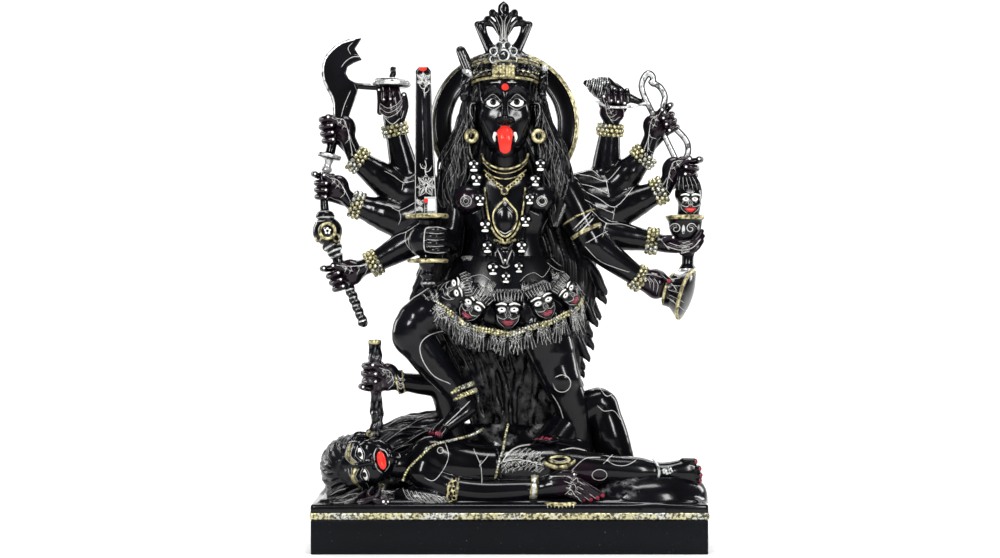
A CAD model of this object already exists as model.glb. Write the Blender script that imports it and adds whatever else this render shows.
import math

import bmesh
import bpy
import numpy as np
import openvdb
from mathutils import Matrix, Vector


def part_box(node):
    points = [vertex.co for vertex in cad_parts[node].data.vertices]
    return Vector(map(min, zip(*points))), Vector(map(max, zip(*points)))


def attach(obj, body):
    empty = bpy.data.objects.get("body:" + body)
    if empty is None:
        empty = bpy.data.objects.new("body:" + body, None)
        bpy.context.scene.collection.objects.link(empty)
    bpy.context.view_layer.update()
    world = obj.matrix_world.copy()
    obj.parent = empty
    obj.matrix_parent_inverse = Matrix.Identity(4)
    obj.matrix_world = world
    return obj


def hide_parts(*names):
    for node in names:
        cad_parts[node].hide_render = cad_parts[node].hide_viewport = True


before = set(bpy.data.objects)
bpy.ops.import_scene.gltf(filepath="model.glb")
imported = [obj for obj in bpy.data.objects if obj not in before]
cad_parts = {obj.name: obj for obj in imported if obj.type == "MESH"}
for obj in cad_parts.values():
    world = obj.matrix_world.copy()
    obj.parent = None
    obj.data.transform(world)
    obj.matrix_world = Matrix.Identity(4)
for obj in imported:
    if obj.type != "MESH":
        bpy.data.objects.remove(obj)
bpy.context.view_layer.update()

# The figure is laid out on a grid of equal steps, as an eye in front of it sees it: columns to the right,
# rows down from the crown's tip, and depth away from the eye. Forms are measured in the same steps.
grid = {
    "eyeColumn": 500,
    "eyeRow": 279,
    "eyeSteps": 2000,
    "middleColumn": 509.1,
    "plinthRow": 511,
    "tipHeight": 508.054,  # the crown's tip over the plinth
}
plinthLow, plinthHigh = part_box("plinth")
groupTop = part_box("carved_group")[1][2]
plinthTop = plinthHigh[2]
unit = (groupTop - plinthTop) / grid["tipHeight"]

rightWay = np.array([1.0, 0.0, 0.0])
backWay = np.array([0.0, 1.0, 0.0])
upWay = np.array([0.0, 0.0, 1.0])
frontWay = -backWay
chance = np.random.default_rng(7)


def at(column, row, depth):
    nearer = 1 + depth / grid["eyeSteps"]
    across = (column - grid["eyeColumn"]) * nearer + grid["eyeColumn"] - grid["middleColumn"]
    height = (grid["eyeRow"] - row) * nearer + grid["plinthRow"] - grid["eyeRow"]
    return np.array([across, depth, height])


def metres(places):
    return np.asarray(places) * unit + np.array([0, 0, plinthTop])


def away(place, *moves):  # a place moved along directions: (direction, steps) pairs
    return place + sum(np.asarray(way) * steps for way, steps in moves)


def unitWay(vector):
    vector = np.asarray(vector, float)
    return vector / np.linalg.norm(vector)


def square(way, to):  # the part of a direction that is square to another
    return unitWay(way - to * np.dot(way, to))


def curve(rows, count=4):  # a smooth line through rows of numbers
    p = np.array([rows[0], *rows, rows[-1]], float)
    t = (np.arange(count) / count)[:, None]
    runs = [
        0.5 * (2 * b + (c - a) * t + (2 * a - 5 * b + 4 * c - d) * t**2 + (3 * b - a - 3 * c + d) * t**3)
        for a, b, c, d in zip(p, p[1:], p[2:], p[3:])
    ]
    return np.vstack([*runs, p[-2:-1]])


# Forms: each gives the distance to its surface, less than nothing inside, and the box that holds it
class Form:
    def __init__(self, distance, low, high):
        self.distance = distance
        self.low = np.asarray(low, float)
        self.high = np.asarray(high, float)


def rod(a, b, ra, rb=None, flat=None):  # flat: a direction and how many times thinner the rod is that way
    rb = ra if rb is None else rb
    a, b = np.asarray(a, float), np.asarray(b, float)
    along = b - a
    span = max(along @ along, 1e-9)

    def distance(x, y, z):
        px, py, pz = x - a[0], y - a[1], z - a[2]
        t = np.clip((px * along[0] + py * along[1] + pz * along[2]) / span, 0, 1)
        dx, dy, dz = px - t * along[0], py - t * along[1], pz - t * along[2]
        if flat is not None:
            way, thinner = flat
            more = (dx * way[0] + dy * way[1] + dz * way[2]) * (thinner - 1)
            dx, dy, dz = dx + more * way[0], dy + more * way[1], dz + more * way[2]
        return np.sqrt(dx * dx + dy * dy + dz * dz) - (ra + (rb - ra) * t)

    most = max(ra, rb)
    return Form(distance, np.minimum(a, b) - most, np.maximum(a, b) + most)


def limb(*places, count=3, flat=None):  # rods along a smooth line of (column, row, depth, radius)
    line = curve([[*at(*place[:3]), place[3]] for place in places], count)
    return [rod(p[:3], q[:3], p[3], q[3], flat) for p, q in zip(line, line[1:])]


def strand(points, radii, count=3, flat=None):  # the same through ready places
    line = curve(np.column_stack([points, radii]), count)
    return [rod(p[:3], q[:3], p[3], q[3], flat) for p, q in zip(line, line[1:])]


def oval(middle, radii, axes=None):
    radii = np.asarray(radii, float)
    axes = np.eye(3) if axes is None else np.asarray(axes)
    reach = np.sqrt(((axes.T * radii[None, :]) ** 2).sum(1))

    def distance(x, y, z):
        px, py, pz = x - middle[0], y - middle[1], z - middle[2]
        u, v, w = ((px * axis[0] + py * axis[1] + pz * axis[2]) for axis in axes)
        near = np.sqrt((u / radii[0]) ** 2 + (v / radii[1]) ** 2 + (w / radii[2]) ** 2)
        steep = np.sqrt((u / radii[0] ** 2) ** 2 + (v / radii[1] ** 2) ** 2 + (w / radii[2] ** 2) ** 2)
        return near * (near - 1) / np.maximum(steep, 1e-6)

    return Form(distance, middle - reach, middle + reach)


def ball(middle, radius):
    return oval(middle, [radius] * 3)


def hoop(middle, axis, radius, thick, squash=1.0):  # squash flattens the ring from front to back
    axis = unitWay(axis)

    def distance(x, y, z):
        px, py, pz = x - middle[0], (y - middle[1]) / squash, z - middle[2]
        h = px * axis[0] + py * axis[1] + pz * axis[2]
        out = np.sqrt(np.maximum(px * px + py * py + pz * pz - h * h, 0)) - radius
        return np.sqrt(out * out + h * h) - thick

    reach = radius + thick
    return Form(distance, middle - reach, middle + reach)


def turned(start, end, profile, lobes=None):  # profile: share of the way, radius; lobes: count, depth, twist
    along = end - start
    length = np.linalg.norm(along)
    along = along / length
    side = square(rightWay if abs(along[0]) < 0.8 else upWay, along)
    other = np.cross(along, side)
    shares, radii = np.array(profile, float).T

    def distance(x, y, z):
        px, py, pz = x - start[0], y - start[1], z - start[2]
        h = px * along[0] + py * along[1] + pz * along[2]
        u = px * side[0] + py * side[1] + pz * side[2]
        v = px * other[0] + py * other[1] + pz * other[2]
        radius = np.interp(h / length, shares, radii)
        if lobes:
            radius = radius * (1 + lobes[1] * np.cos(lobes[0] * np.arctan2(v, u) - lobes[2] * h))
        out = np.sqrt(u * u + v * v) - radius
        return np.maximum(out * 0.85, np.abs(h - length / 2) - length / 2)

    most = radii.max() * 1.15
    return Form(distance, np.minimum(start, end) - most, np.maximum(start, end) + most)


def stack(axis, *places):  # oval sections along X or Z: column, row, depth, half across or up, half deep
    rows = np.array([[*at(*place[:3]), *place[3:]] for place in places])
    rows = curve(rows, 5)
    main, side = (0, 2) if axis == "x" else (2, 0)
    rows = rows[np.argsort(rows[:, main])]
    stations = rows[:, main]

    def distance(x, y, z):
        position = (x, y, z)[main]
        middleDepth, middleSide, wide, deep = (np.interp(position, stations, rows[:, i])
                                               for i in (1, side, 3, 4))
        u = (x if side == 0 else z) - middleSide
        v = y - middleDepth
        near = np.sqrt((u / wide) ** 2 + (v / deep) ** 2)
        steep = np.sqrt((u / wide**2) ** 2 + (v / deep**2) ** 2)
        out = near * (near - 1) / np.maximum(steep, 1e-3)
        ends = np.maximum(stations[0] - position, position - stations[-1])
        return np.maximum(out, ends)

    low, high = rows[:, :3].min(0), rows[:, :3].max(0)
    low[side] = (rows[:, side] - rows[:, 3]).min()
    high[side] = (rows[:, side] + rows[:, 3]).max()
    low[1] = (rows[:, 1] - rows[:, 4]).min()
    high[1] = (rows[:, 1] + rows[:, 4]).max()
    return Form(distance, low, high)


def card(outline, depth, half,
         edge=0.8):  # a flat piece from its outline of (column, row), with softened edges
    corners = np.array([at(column, row, depth)[[0, 2]] for column, row in outline])

    def distance(x, y, z):
        near = np.full(np.broadcast_shapes(x.shape, z.shape), 1e9)
        inside = np.ones(near.shape)
        for p, q in zip(corners, np.roll(corners, -1, axis=0)):
            ex, ez = q - p
            wx, wz = x - p[0], z - p[1]
            t = np.clip((wx * ex + wz * ez) / (ex * ex + ez * ez), 0, 1)
            near = np.minimum(near, (wx - t * ex) ** 2 + (wz - t * ez) ** 2)
            above, below = z >= p[1], z < q[1]
            leftOf = ex * wz > ez * wx
            flips = (above & below & leftOf) | (~above & ~below & ~leftOf)
            inside = np.where(flips, -inside, inside)
        flat = inside * np.sqrt(near) + edge
        thick = np.abs(y - depth) - half + edge
        outer = np.sqrt(np.maximum(flat, 0) ** 2 + np.maximum(thick, 0) ** 2)
        return outer + np.minimum(np.maximum(flat, thick), 0) - edge

    low = [corners[:, 0].min(), depth - half, corners[:, 1].min()]
    high = [corners[:, 0].max(), depth + half, corners[:, 1].max()]
    return Form(distance, low, high)


def roughness(x, y, z):  # the unevenness of hewn rock
    return (0.7 * np.sin(x / 7.3 + 2.1 * np.sin(z / 9.1)) * np.sin(y / 6.1 + z / 8.3)
            + 0.5 * np.sin(x / 3.1 + y / 4.3)
            * np.sin(z / 3.7 + y / 5.9) + 0.25 * np.sin(x / 1.9 + z / 2.3) * np.sin(y / 2.1))


def block(low, high, edge=0.8):
    middle, half = (np.array(low) + high) / 2, (np.array(high, float) - low) / 2 - edge

    def distance(x, y, z):
        u, v, w = (np.abs(p - m) - h for p, m, h in zip((x, y, z), middle, half))
        outer = np.sqrt(np.maximum(u, 0) ** 2 + np.maximum(v, 0) ** 2 + np.maximum(w, 0) ** 2)
        return outer + np.minimum(np.maximum(np.maximum(u, v), w), 0) - edge

    return Form(distance, low, high)


# Clay: forms that are added and cut one after another, then turned into a mesh with its paint
far = 60.0
colours = ("silver", "gold", "white", "red", "rose", "tint", "ink")


def withoutCrumbs(points, faces, least=120):  # leaves out loose bits of fewer faces than the least
    label = np.arange(len(points))
    while True:
        low = label[faces].min(axis=1)
        lower = label.copy()
        for corners in faces.T:
            np.minimum.at(lower, corners, low)
        lower = lower[lower]
        if np.array_equal(lower, label):
            break
        label = lower
    bit = label[faces[:, 0]]
    faces = faces[np.bincount(bit, minlength=len(points))[bit] >= least]
    kept, corners = np.unique(faces, return_inverse=True)
    return points[kept], corners.reshape(faces.shape)


def smoothMin(a, b, blend):
    if blend <= 0:
        return np.minimum(a, b)
    share = np.clip(0.5 + 0.5 * (b - a) / blend, 0, 1)
    return b + (a - b) * share - blend * share * (1 - share)


class Clay:
    def __init__(self, pitch):
        self.pitch = pitch
        self.moves = []
        self.paints = []
        self.strokes = []
        self.reliefs = []

    def add(self, forms, blend=0.0, cut=False):
        forms = forms if isinstance(forms, list) else [forms]
        self.moves.append((forms, blend, cut))
        return self

    def cut(self, forms, blend=0.0):
        return self.add(forms, blend, True)

    def relief(self, height, low, high, dust=0.0):  # raises the surface by a pattern, and may dust its crests
        self.moves.append((Form(height, low, high), dust, None))
        return self

    def paint(self, colour, forms, grow=0.0):
        forms = forms if isinstance(forms, list) else [forms]
        self.paints += [(colour, form, grow) for form in forms]
        return self

    def trim(self, colour, forms, blend=0.0, grow=0.0):  # forms added in a colour of their own
        return self.add(forms, blend).paint(colour, forms, grow)

    def line(self, *places, half=0.55, count=4, reach=14):  # a painted line on what faces the eye
        rows = [at(*place) for place in places]
        return self.stroke(curve(rows, count) if len(rows) > 2 else rows, half, reach)

    def stroke(self, rows, half=0.55, reach=14):  # the same through ready places
        self.strokes.append((np.array(rows), half, reach))
        return self

    def window(self, low, high, reach):
        start = np.floor((low - reach - self.low) / self.pitch).astype(int)
        stop = np.ceil((high + reach - self.low) / self.pitch).astype(int) + 1
        return [slice(max(0, a), max(0, min(n, b))) for a, b, n in zip(start, stop, self.counts)]

    def axes(self, box):
        x, y, z = (axis[part] for axis, part in zip(self.ticks, box))
        return x[:, None, None], y[None, :, None], z[None, None, :]

    def nearest(self, forms, reach):
        box = self.window(np.min([f.low for f in forms], 0), np.max([f.high for f in forms], 0), reach)
        near = np.full([part.stop - part.start for part in box], far, np.float32)
        for form in forms:
            inner = self.window(form.low, form.high, reach)
            part = near[tuple(slice(i.start - o.start, i.stop - o.start) for i, o in zip(inner, box))]
            if part.size:
                np.minimum(part, form.distance(*self.axes(inner)), out=part)
        return box, near

    def mesh(self):
        solid = [form for forms, _, cut in self.moves if cut is False for form in forms]
        reach = 2 * self.pitch + max(blend for _, blend, cut in self.moves if cut is not None)
        self.low = np.min([f.low for f in solid], 0) - 3 * self.pitch - 2
        high = np.max([f.high for f in solid], 0) + 3 * self.pitch + 2
        self.counts = np.ceil((high - self.low) / self.pitch).astype(int) + 1
        self.ticks = [(self.low[i] + self.pitch * np.arange(self.counts[i])).astype(np.float32)
                      for i in range(3)]
        field = np.full(self.counts, far, np.float32)
        for forms, blend, cut in self.moves:
            if cut is None:
                box = self.window(forms.low, forms.high, 0)
                field[tuple(box)] -= forms.distance(*self.axes(box))
                continue
            box, near = self.nearest(forms, reach)
            part = field[tuple(box)]
            part[...] = -smoothMin(-part, near, blend) if cut else smoothMin(part, near, blend)
        volume = openvdb.FloatGrid(3.0)
        volume.copyFromArray(np.clip(field, -3, 3))
        points, _, quads = volume.convertToPolygons(isovalue=0.0, adaptivity=0.0)
        return withoutCrumbs(points.astype(np.float64) * self.pitch + self.low, quads.astype(np.int32))

    def fill(self, points, facing):  # the paint at each point: distances to the edges of the coloured places
        layers = {colour: np.full(len(points), 9.0) for colour in colours}
        for colour, form, grow in self.paints:
            near = np.all((points > form.low - grow - 3) & (points < form.high + grow + 3), axis=1)
            if near.any():
                layers[colour][near] = np.minimum(layers[colour][near], form.distance(*points[near].T) - grow)
        side = np.full(len(points), 6.0)
        close = np.full(len(points), 6.0)
        for rows, half, reach in self.strokes:
            gate = half + 1.25 * self.pitch
            low, high = rows.min(0) - [4, reach, 4], rows.max(0) + [4, reach, 4]
            near = np.flatnonzero(np.all((points > low) & (points < high), axis=1) & (facing < 0.1))
            x, z = points[near][:, 0], points[near][:, 2]
            best = np.full(len(near), 9.0)
            signed = np.full(len(near), 9.0)
            for p, q in zip(rows, rows[1:]):
                ex, ez = (q - p)[[0, 2]]
                wx, wz = x - p[0], z - p[2]
                t = np.clip((wx * ex + wz * ez) / max(ex * ex + ez * ez, 1e-9), 0, 1)
                dist = np.hypot(wx - t * ex, wz - t * ez)
                nearer = dist < best
                best[nearer] = dist[nearer]
                signed[nearer] = (np.sign(ex * wz - ez * wx) * dist)[nearer]
            better = best / half < np.abs(side[near])
            side[near[better]] = signed[better] / half
            close[near[better]] = best[better] / gate
        dust = np.zeros(len(points))
        for form, amount, cut in self.moves:
            if cut is None and amount:
                near = np.all((points > form.low) & (points < form.high), axis=1)
                dust[near] = np.maximum(dust[near], amount * form.distance(*points[near].T))
        return {**layers, "side": side, "close": close, "dust": dust}


def meshFrom(name, points, quads):  # points in metres
    mesh = bpy.data.meshes.new(name)
    mesh.vertices.add(len(points))
    mesh.vertices.foreach_set("co", np.asarray(points, np.float32).ravel())
    mesh.loops.add(quads.size)
    mesh.loops.foreach_set("vertex_index", quads.astype(np.int32).ravel())
    mesh.polygons.add(len(quads))
    mesh.polygons.foreach_set("loop_start", np.arange(0, quads.size, quads.shape[1], dtype=np.int32))
    mesh.update(calc_edges=True)
    mesh.shade_smooth()
    return mesh


def thinned(mesh, held, share):  # keeps a share of the faces, and all the held points
    whole = bpy.data.objects.new("whole", mesh)
    bpy.context.scene.collection.objects.link(whole)
    free = whole.vertex_groups.new(name="free")
    free.add(np.flatnonzero(~held).tolist(), 1.0, "REPLACE")
    fewer = whole.modifiers.new("fewer", "DECIMATE")
    fewer.ratio = share
    fewer.vertex_group = "free"
    graph = bpy.context.evaluated_depsgraph_get()
    thin = bpy.data.meshes.new_from_object(whole.evaluated_get(graph), preserve_all_data_layers=True,
                                           depsgraph=graph)
    bpy.data.objects.remove(whole)
    bpy.data.meshes.remove(mesh)
    return thin


def show(name, mesh, finish, slot="black_stone"):
    mesh.name = name
    piece = bpy.data.objects.new(name, mesh)
    bpy.context.scene.collection.objects.link(piece)
    mesh.materials.append(finish)
    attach(piece, "root")
    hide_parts("plinth" if slot == "plinth_stone" else "carved_group")
    print(f"{name}: {len(mesh.polygons)} faces")
    return piece


def fire(name, clays, finish, share):  # the clays of one piece, joined in one mesh with their paint
    pointSets, quadSets = zip(*(clay.mesh() for clay in clays))
    starts = np.cumsum([0, *(len(points) for points in pointSets)])
    mesh = meshFrom(name, metres(np.vstack(pointSets)), np.vstack([q + s for q, s in zip(quadSets, starts)]))
    normals = np.empty(3 * len(mesh.vertices), np.float32)
    mesh.vertex_normals.foreach_get("vector", normals)
    facing = normals.reshape(-1, 3)[:, 1]
    layers = [
        clay.fill(points, facing[start:start + len(points)])
        for clay, points, start in zip(clays, pointSets, starts)
    ]
    paint = {key: np.concatenate([layer[key] for layer in layers]).astype(np.float32) for key in layers[0]}
    for key, values in paint.items():
        mesh.attributes.new(key, "FLOAT", "POINT").data.foreach_set("value", values)
    edges = np.min([np.abs(paint[colour]) for colour in colours if colour != "tint"], axis=0)
    held = (edges < 0.9) | (paint["close"] < 1.25)
    return show(name, thinned(mesh, held, share), finish)


# Finishes. A Wire is a socket that can stand in a sum.
class Wire:
    def __init__(self, finish, socket):
        self.finish = finish
        self.socket = socket

    def maths(self, operation, *values, clamp=False):
        settings = {"operation": operation, "use_clamp": clamp}
        return self.finish.node("ShaderNodeMath", settings, dict(enumerate(values)))

    def __add__(self, other):
        return self.maths("ADD", self, other)

    def __radd__(self, other):
        return self.maths("ADD", other, self)

    def __sub__(self, other):
        return self.maths("SUBTRACT", self, other)

    def __rsub__(self, other):
        return self.maths("SUBTRACT", other, self)

    def __mul__(self, other):
        return self.maths("MULTIPLY", self, other)

    def __rmul__(self, other):
        return self.maths("MULTIPLY", other, self)

    def __truediv__(self, other):
        return self.maths("DIVIDE", self, other)

    def __rtruediv__(self, other):
        return self.maths("DIVIDE", other, self)

    def held(self):  # kept between 0 and 1
        return self.maths("ADD", self, 0.0, clamp=True)

    def size(self):
        return self.maths("ABSOLUTE", self)


class Finish:
    def __init__(self, name):
        self.material = bpy.data.materials.new(name)
        self.material.use_nodes = True
        self.tree = self.material.node_tree
        self.tree.nodes.clear()
        self.place = self.node("ShaderNodeTexCoord", output="Object")

    def node(self, kind, settings=None, sockets=None, output=0):
        made = self.tree.nodes.new(kind)
        for key, value in (settings or {}).items():
            setattr(made, key, value)
        for key, value in (sockets or {}).items():
            if isinstance(value, Wire):
                self.tree.links.new(value.socket, made.inputs[key])
            else:
                made.inputs[key].default_value = value
        return Wire(self, made.outputs[output] if made.outputs else None)

    def read(self, name):
        return self.node("ShaderNodeAttribute", {"attribute_name": name}, output="Fac")

    def noise(self, scale, detail=3.0, rough=0.55):
        sockets = {"Vector": self.place, "Scale": scale, "Detail": detail, "Roughness": rough}
        return self.node("ShaderNodeTexNoise", None, sockets)

    def blend(self, share, first, second):  # colours
        sockets = {"Factor": share, 6: first, 7: second}
        return self.node("ShaderNodeMix", {"data_type": "RGBA"}, sockets, output=2)

    def edge(self, name, soft=0.3):  # where a painted place is: 1 inside, 0 outside
        return (0.5 - self.read(name) / soft).held()

    def surface(self, sockets):
        shader = self.node("ShaderNodeBsdfPrincipled", None, sockets)
        self.node("ShaderNodeOutputMaterial", None, {"Surface": shader})
        return self.material


paintBox = {
    "stone": (0.0014, 0.0014, 0.0020, 1),
    "stoneVein": (0.0042, 0.0045, 0.0065, 1),
    "silver": (0.56, 0.57, 0.56, 1),
    "silverWorn": (0.030, 0.031, 0.034, 1),
    "gold": (0.58, 0.52, 0.28, 1),
    "goldWorn": (0.035, 0.030, 0.012, 1),
    "white": (0.80, 0.80, 0.76, 1),
    "red": (0.72, 0.03, 0.02, 1),
    "rose": (0.21, 0.020, 0.038, 1),
    "tint": (0.0075, 0.0032, 0.0066, 1),
    "line": (0.50, 0.50, 0.48, 1),
    "dust": (0.30, 0.30, 0.31, 1),
    "ink": (0.003, 0.003, 0.004, 1),
}


def paintedStone(name, gloss=0.13, dusty=0.0,
                 lines=1.0):  # polished black stone with its gilding and painted lines
    finish = Finish(name)
    cloud = finish.noise(9.0)
    grain = finish.noise(420.0, 2.0)
    fleck = finish.noise(160.0, 3.0)
    colour = finish.blend((cloud * 3.0 - 1.2).held(), paintBox["stone"], paintBox["stoneVein"])
    colour = finish.blend(finish.edge("tint", 4.0), colour, paintBox["tint"])
    crests = finish.read("dust") * (fleck * 5.0 - 1.9).held()
    if dusty:
        point = finish.node("ShaderNodeNewGeometry", output="Pointiness")
        crests = crests + (point * 14.0 - 7.35).held() * (fleck * 6.0 - 2.3).held() * dusty
    crests = crests.held()
    colour = finish.blend(crests, colour, paintBox["dust"])
    line = (1.35 - finish.read("side").size() * 1.3).held() * (4.0 - finish.read("close") * 3.2).held()
    line = (line * (fleck * 3.0 - 0.45).held() * lines).held()
    colour = finish.blend(line, colour, paintBox["line"])
    silver = finish.edge("silver")
    bright = (fleck * 6.0 - 2.1).held()
    colour = finish.blend(silver, colour, finish.blend(bright, paintBox["silverWorn"], paintBox["silver"]))
    gold = finish.edge("gold")
    worn = (fleck * 4.5 - 1.75).held()
    gilding = finish.blend(worn, paintBox["goldWorn"], paintBox["gold"])
    colour = finish.blend(gold, colour, gilding)
    white = finish.edge("white")
    colour = finish.blend(white, colour, paintBox["white"])
    red = finish.edge("red")
    colour = finish.blend(red, colour, paintBox["red"])
    rose = finish.edge("rose")
    colour = finish.blend(rose, colour, paintBox["rose"])
    ink = finish.edge("ink")
    colour = finish.blend(ink, colour, paintBox["ink"])
    metal = (gold * worn * 0.75 + silver * bright * 0.7) * (1 - white) * (1 - red) * (1 - ink)
    rough = gloss + cloud * 0.06 + gold * 0.22 + silver * 0.16 + crests * 0.25 + line * 0.2
    height = grain * 0.25 + gold * fleck * 3.0 + silver * fleck * 0.8
    bump = finish.node("ShaderNodeBump", None, {"Strength": 0.25, "Distance": 0.0006, "Height": height})
    return finish.surface({
        "Base Color": colour,
        "Roughness": rough,
        "Metallic": metal.held(),
        "Normal": bump,
        "IOR": 1.32,
    })


def giltFinish(name, colour, pale, worn,
               roughness=0.32):  # gilding, silvery in places and worn dark in the hollows
    finish = Finish(name)
    fleck = finish.noise(260.0, 3.0)
    tone = finish.noise(30.0, 2.0)
    share = (fleck * 7.0 - 2.9).held()
    bump = finish.node("ShaderNodeBump", None, {"Strength": 0.4, "Distance": 0.0008, "Height": fleck})
    return finish.surface({
        "Base Color": finish.blend(share, worn, finish.blend((tone * 6.0 - 2.9).held(), colour, pale)),
        "Roughness": roughness + (1 - share) * 0.2,
        "Metallic": 0.15 + share * 0.65,
        "Normal": bump,
    })


def slabFinish(name):  # the plinth: stone with a satin face and pale flecks
    finish = Finish(name)
    cloud = finish.noise(14.0)
    streak = finish.noise(60.0, 4.0)
    fleck = finish.noise(380.0, 1.0)
    colour = finish.blend(cloud, (0.0010, 0.0013, 0.0022, 1), (0.0020, 0.0026, 0.0044, 1))
    specks = (fleck * 14.0 - 10.3).held()
    colour = finish.blend(specks * 0.6, colour, (0.25, 0.26, 0.28, 1))
    bump = finish.node("ShaderNodeBump", None,
                       {"Strength": 0.15, "Distance": 0.0008, "Height": streak + fleck * 0.3})
    return finish.surface({"Base Color": colour, "Roughness": 0.2 + streak * 0.22, "Normal": bump,
                           "IOR": 1.22})


polished = paintedStone("polishedStone")
carvedHair = paintedStone("carvedHair", 0.24, 0.13, 0.42)
carvedFringe = paintedStone("carvedFringe", 0.15, 0.16, 0.8)
print("finishes made")


# Camera, lights and floor
studio = {"lens": 72, "sensor": 36, "floor": 7.0, "front": 7.0, "wall": 4.8, "sky": 0.08}


def makeStudio():
    camera = bpy.data.objects.new("camera", bpy.data.cameras.new("camera"))
    camera.data.lens = studio["lens"]
    camera.data.sensor_width = studio["sensor"]
    camera.data.clip_start = 0.05
    eyeHeight = plinthTop + (grid["plinthRow"] - grid["eyeRow"]) * unit
    eyeAcross = (grid["eyeColumn"] - grid["middleColumn"]) * unit
    camera.location = (eyeAcross, -grid["eyeSteps"] * unit, eyeHeight)
    camera.rotation_euler = (math.pi / 2, 0, 0)
    bpy.context.scene.collection.objects.link(camera)
    bpy.context.scene.camera = camera
    # The floor runs up into a wall behind, in one soft sweep
    half, wall = studio["floor"], studio["wall"]
    turn = [(wall - 1 + math.sin(a), 1 - math.cos(a)) for a in np.linspace(0, math.pi / 2, 13)]
    profile = [(-studio["front"], 0.0), *turn, (wall, 6.0)]
    points = [(x, y, z) for y, z in profile for x in (-half, half)]
    quads = np.array([(2 * i, 2 * i + 1, 2 * i + 3, 2 * i + 2) for i in range(len(profile) - 1)])
    sweep = bpy.data.objects.new("floor", meshFrom("floor", points, quads))
    pale = Finish("paleFloor")
    sweep.data.materials.append(pale.surface({
        "Base Color": pale.blend(pale.noise(2.0), (0.80, 0.80, 0.80, 1), (0.84, 0.84, 0.84, 1)),
        "Roughness": 0.9,
    }))
    bpy.context.scene.collection.objects.link(sweep)
    lamps = [  # name, place, aim, width, height, watts
        ("key", (-1.0, -2.0, 1.45), (0, 0, 0.42), 0.34, 0.9, 45),
        ("fill", (1.15, -1.9, 1.2), (0, 0, 0.40), 0.30, 1.0, 36),
        ("top", (0.1, -0.3, 2.2), (0, 0, 0.4), 0.9, 0.5, 24),
        ("rimLeft", (-1.6, 0.9, 1.0), (0, 0, 0.45), 0.4, 1.2, 18),
        ("rimRight", (1.6, 0.9, 1.0), (0, 0, 0.45), 0.4, 1.2, 18),
        ("wall", (0, 3.2, 3.9), (0, 4.8, 1.0), 4.6, 0.8, 260),
    ]
    for name, place, aim, width, height, watts in lamps:
        light = bpy.data.lights.new(name, "AREA")
        light.shape = "RECTANGLE"
        light.size, light.size_y, light.energy = width, height, watts
        lamp = bpy.data.objects.new(name, light)
        lamp.location = place
        lamp.rotation_euler = (Vector(aim) - Vector(place)).to_track_quat("-Z", "Y").to_euler()
        bpy.context.scene.collection.objects.link(lamp)
    world = bpy.data.worlds.new("studio")
    world.use_nodes = True
    world.node_tree.nodes["Background"].inputs["Color"].default_value = (1, 1, 1, 1)
    world.node_tree.nodes["Background"].inputs["Strength"].default_value = studio["sky"]
    bpy.context.scene.world = world
    bpy.context.scene.view_settings.view_transform = "Standard"


makeStudio()
print("studio set")


# Her legs, one knee drawn up
legs = {
    "pitch": 1.3,
    "share": 0.35,
    "toes": 5,
    "footSize": 11,
    "knees": [(562, 383.5, 8.7)],
    "raisedLeg": [  # blend, places
        (4, [(494, 296, 0, 25), (452, 304, -20, 25), (417, 321, -33, 20), (411, 338, -34, 18)]),
        (4, [(411, 334, -33, 18), (428, 357, -30, 17.5), (452, 386, -25, 13), (466, 406, -21, 10.5)]),
    ],
    "standingLeg": [  # blend, places
        (6, [(530, 292, 0, 31), (545, 335, -4, 27), (560, 378, -6, 19.5)]),
        (4, [(560, 378, -6, 19), (571, 405, -2, 17), (577, 430, 0, 14), (582, 452, 0, 12)]),
    ],
    "lines": [  # half width, reach, places
        (0.55, 30,
         [(444, 331, -50), (428, 336, -50), (420, 346, -52), (423, 361, -48), (434, 376, -42),
          (449, 383, -38)]),
        (0.55, 30, [(447, 352, -48), (462, 372, -40), (473, 388, -34)]),
        (0.55, 16, [(553, 396, -24), (560, 408, -22), (565, 425, -18)]),
        (0.55, 20, [(469, 402, -34), (458, 413, -38), (446, 424, -42)]),
    ],
}


def addFoot(clay, ankle, toes, size):
    along = unitWay(toes - ankle)
    across = unitWay(np.cross(along, upWay))
    over = np.cross(across, along)
    sole = toes - ankle
    clay.add(strand([ankle - along * 0.5 * size, ankle + sole * 0.45, toes - along * 2],
                    [0.85 * size, 0.8 * size, 0.62 * size], flat=(over, 1.15)), 3)
    for place in range(legs["toes"]):
        offset = (place / 2 - 1) * 0.95 * size
        longer = 1.0 - 0.12 * place
        thick = (0.34 - 0.03 * place) * size
        start = away(toes, (along, -0.4 * size), (across, offset), (over, 0.12 * size))
        tip = away(toes, (along, 0.35 * size * longer), (across, offset * 1.08), (over, -0.12 * size))
        clay.add(rod(start, tip, thick, thick * 0.9), 0.8)
        clay.paint("tint", ball(tip, thick * 1.1))
        clay.paint("rose", ball(away(tip, (over, thick * 0.8), (along, thick * 0.1)), thick * 0.7))


def makeLegs():
    clay = Clay(legs["pitch"])
    for blend, places in legs["raisedLeg"]:
        clay.add(limb(*places), blend)
    clay.add(ball(at(435, 366, -22), 14), 8)
    for blend, places in legs["standingLeg"]:
        clay.add(limb(*places), blend)
    clay.add(ball(at(562, 380, -14), 12), 9)
    addFoot(clay, at(464, 413, -24), at(437, 432, -40), legs["footSize"])
    addFoot(clay, at(578, 448, -6), at(545, 440, -32), legs["footSize"])
    for column, row, radius in legs["knees"]:
        turns = [math.radians(a) for a in range(-40, 285, 25)]
        clay.line(*[(column + radius * math.sin(a), row - radius * math.cos(a), -26) for a in turns],
                  count=3, reach=16)
    for half, reach, places in legs["lines"]:
        clay.line(*places, half=half, reach=reach)
    return fire("goddessLegs", [clay], polished, legs["share"])


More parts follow.
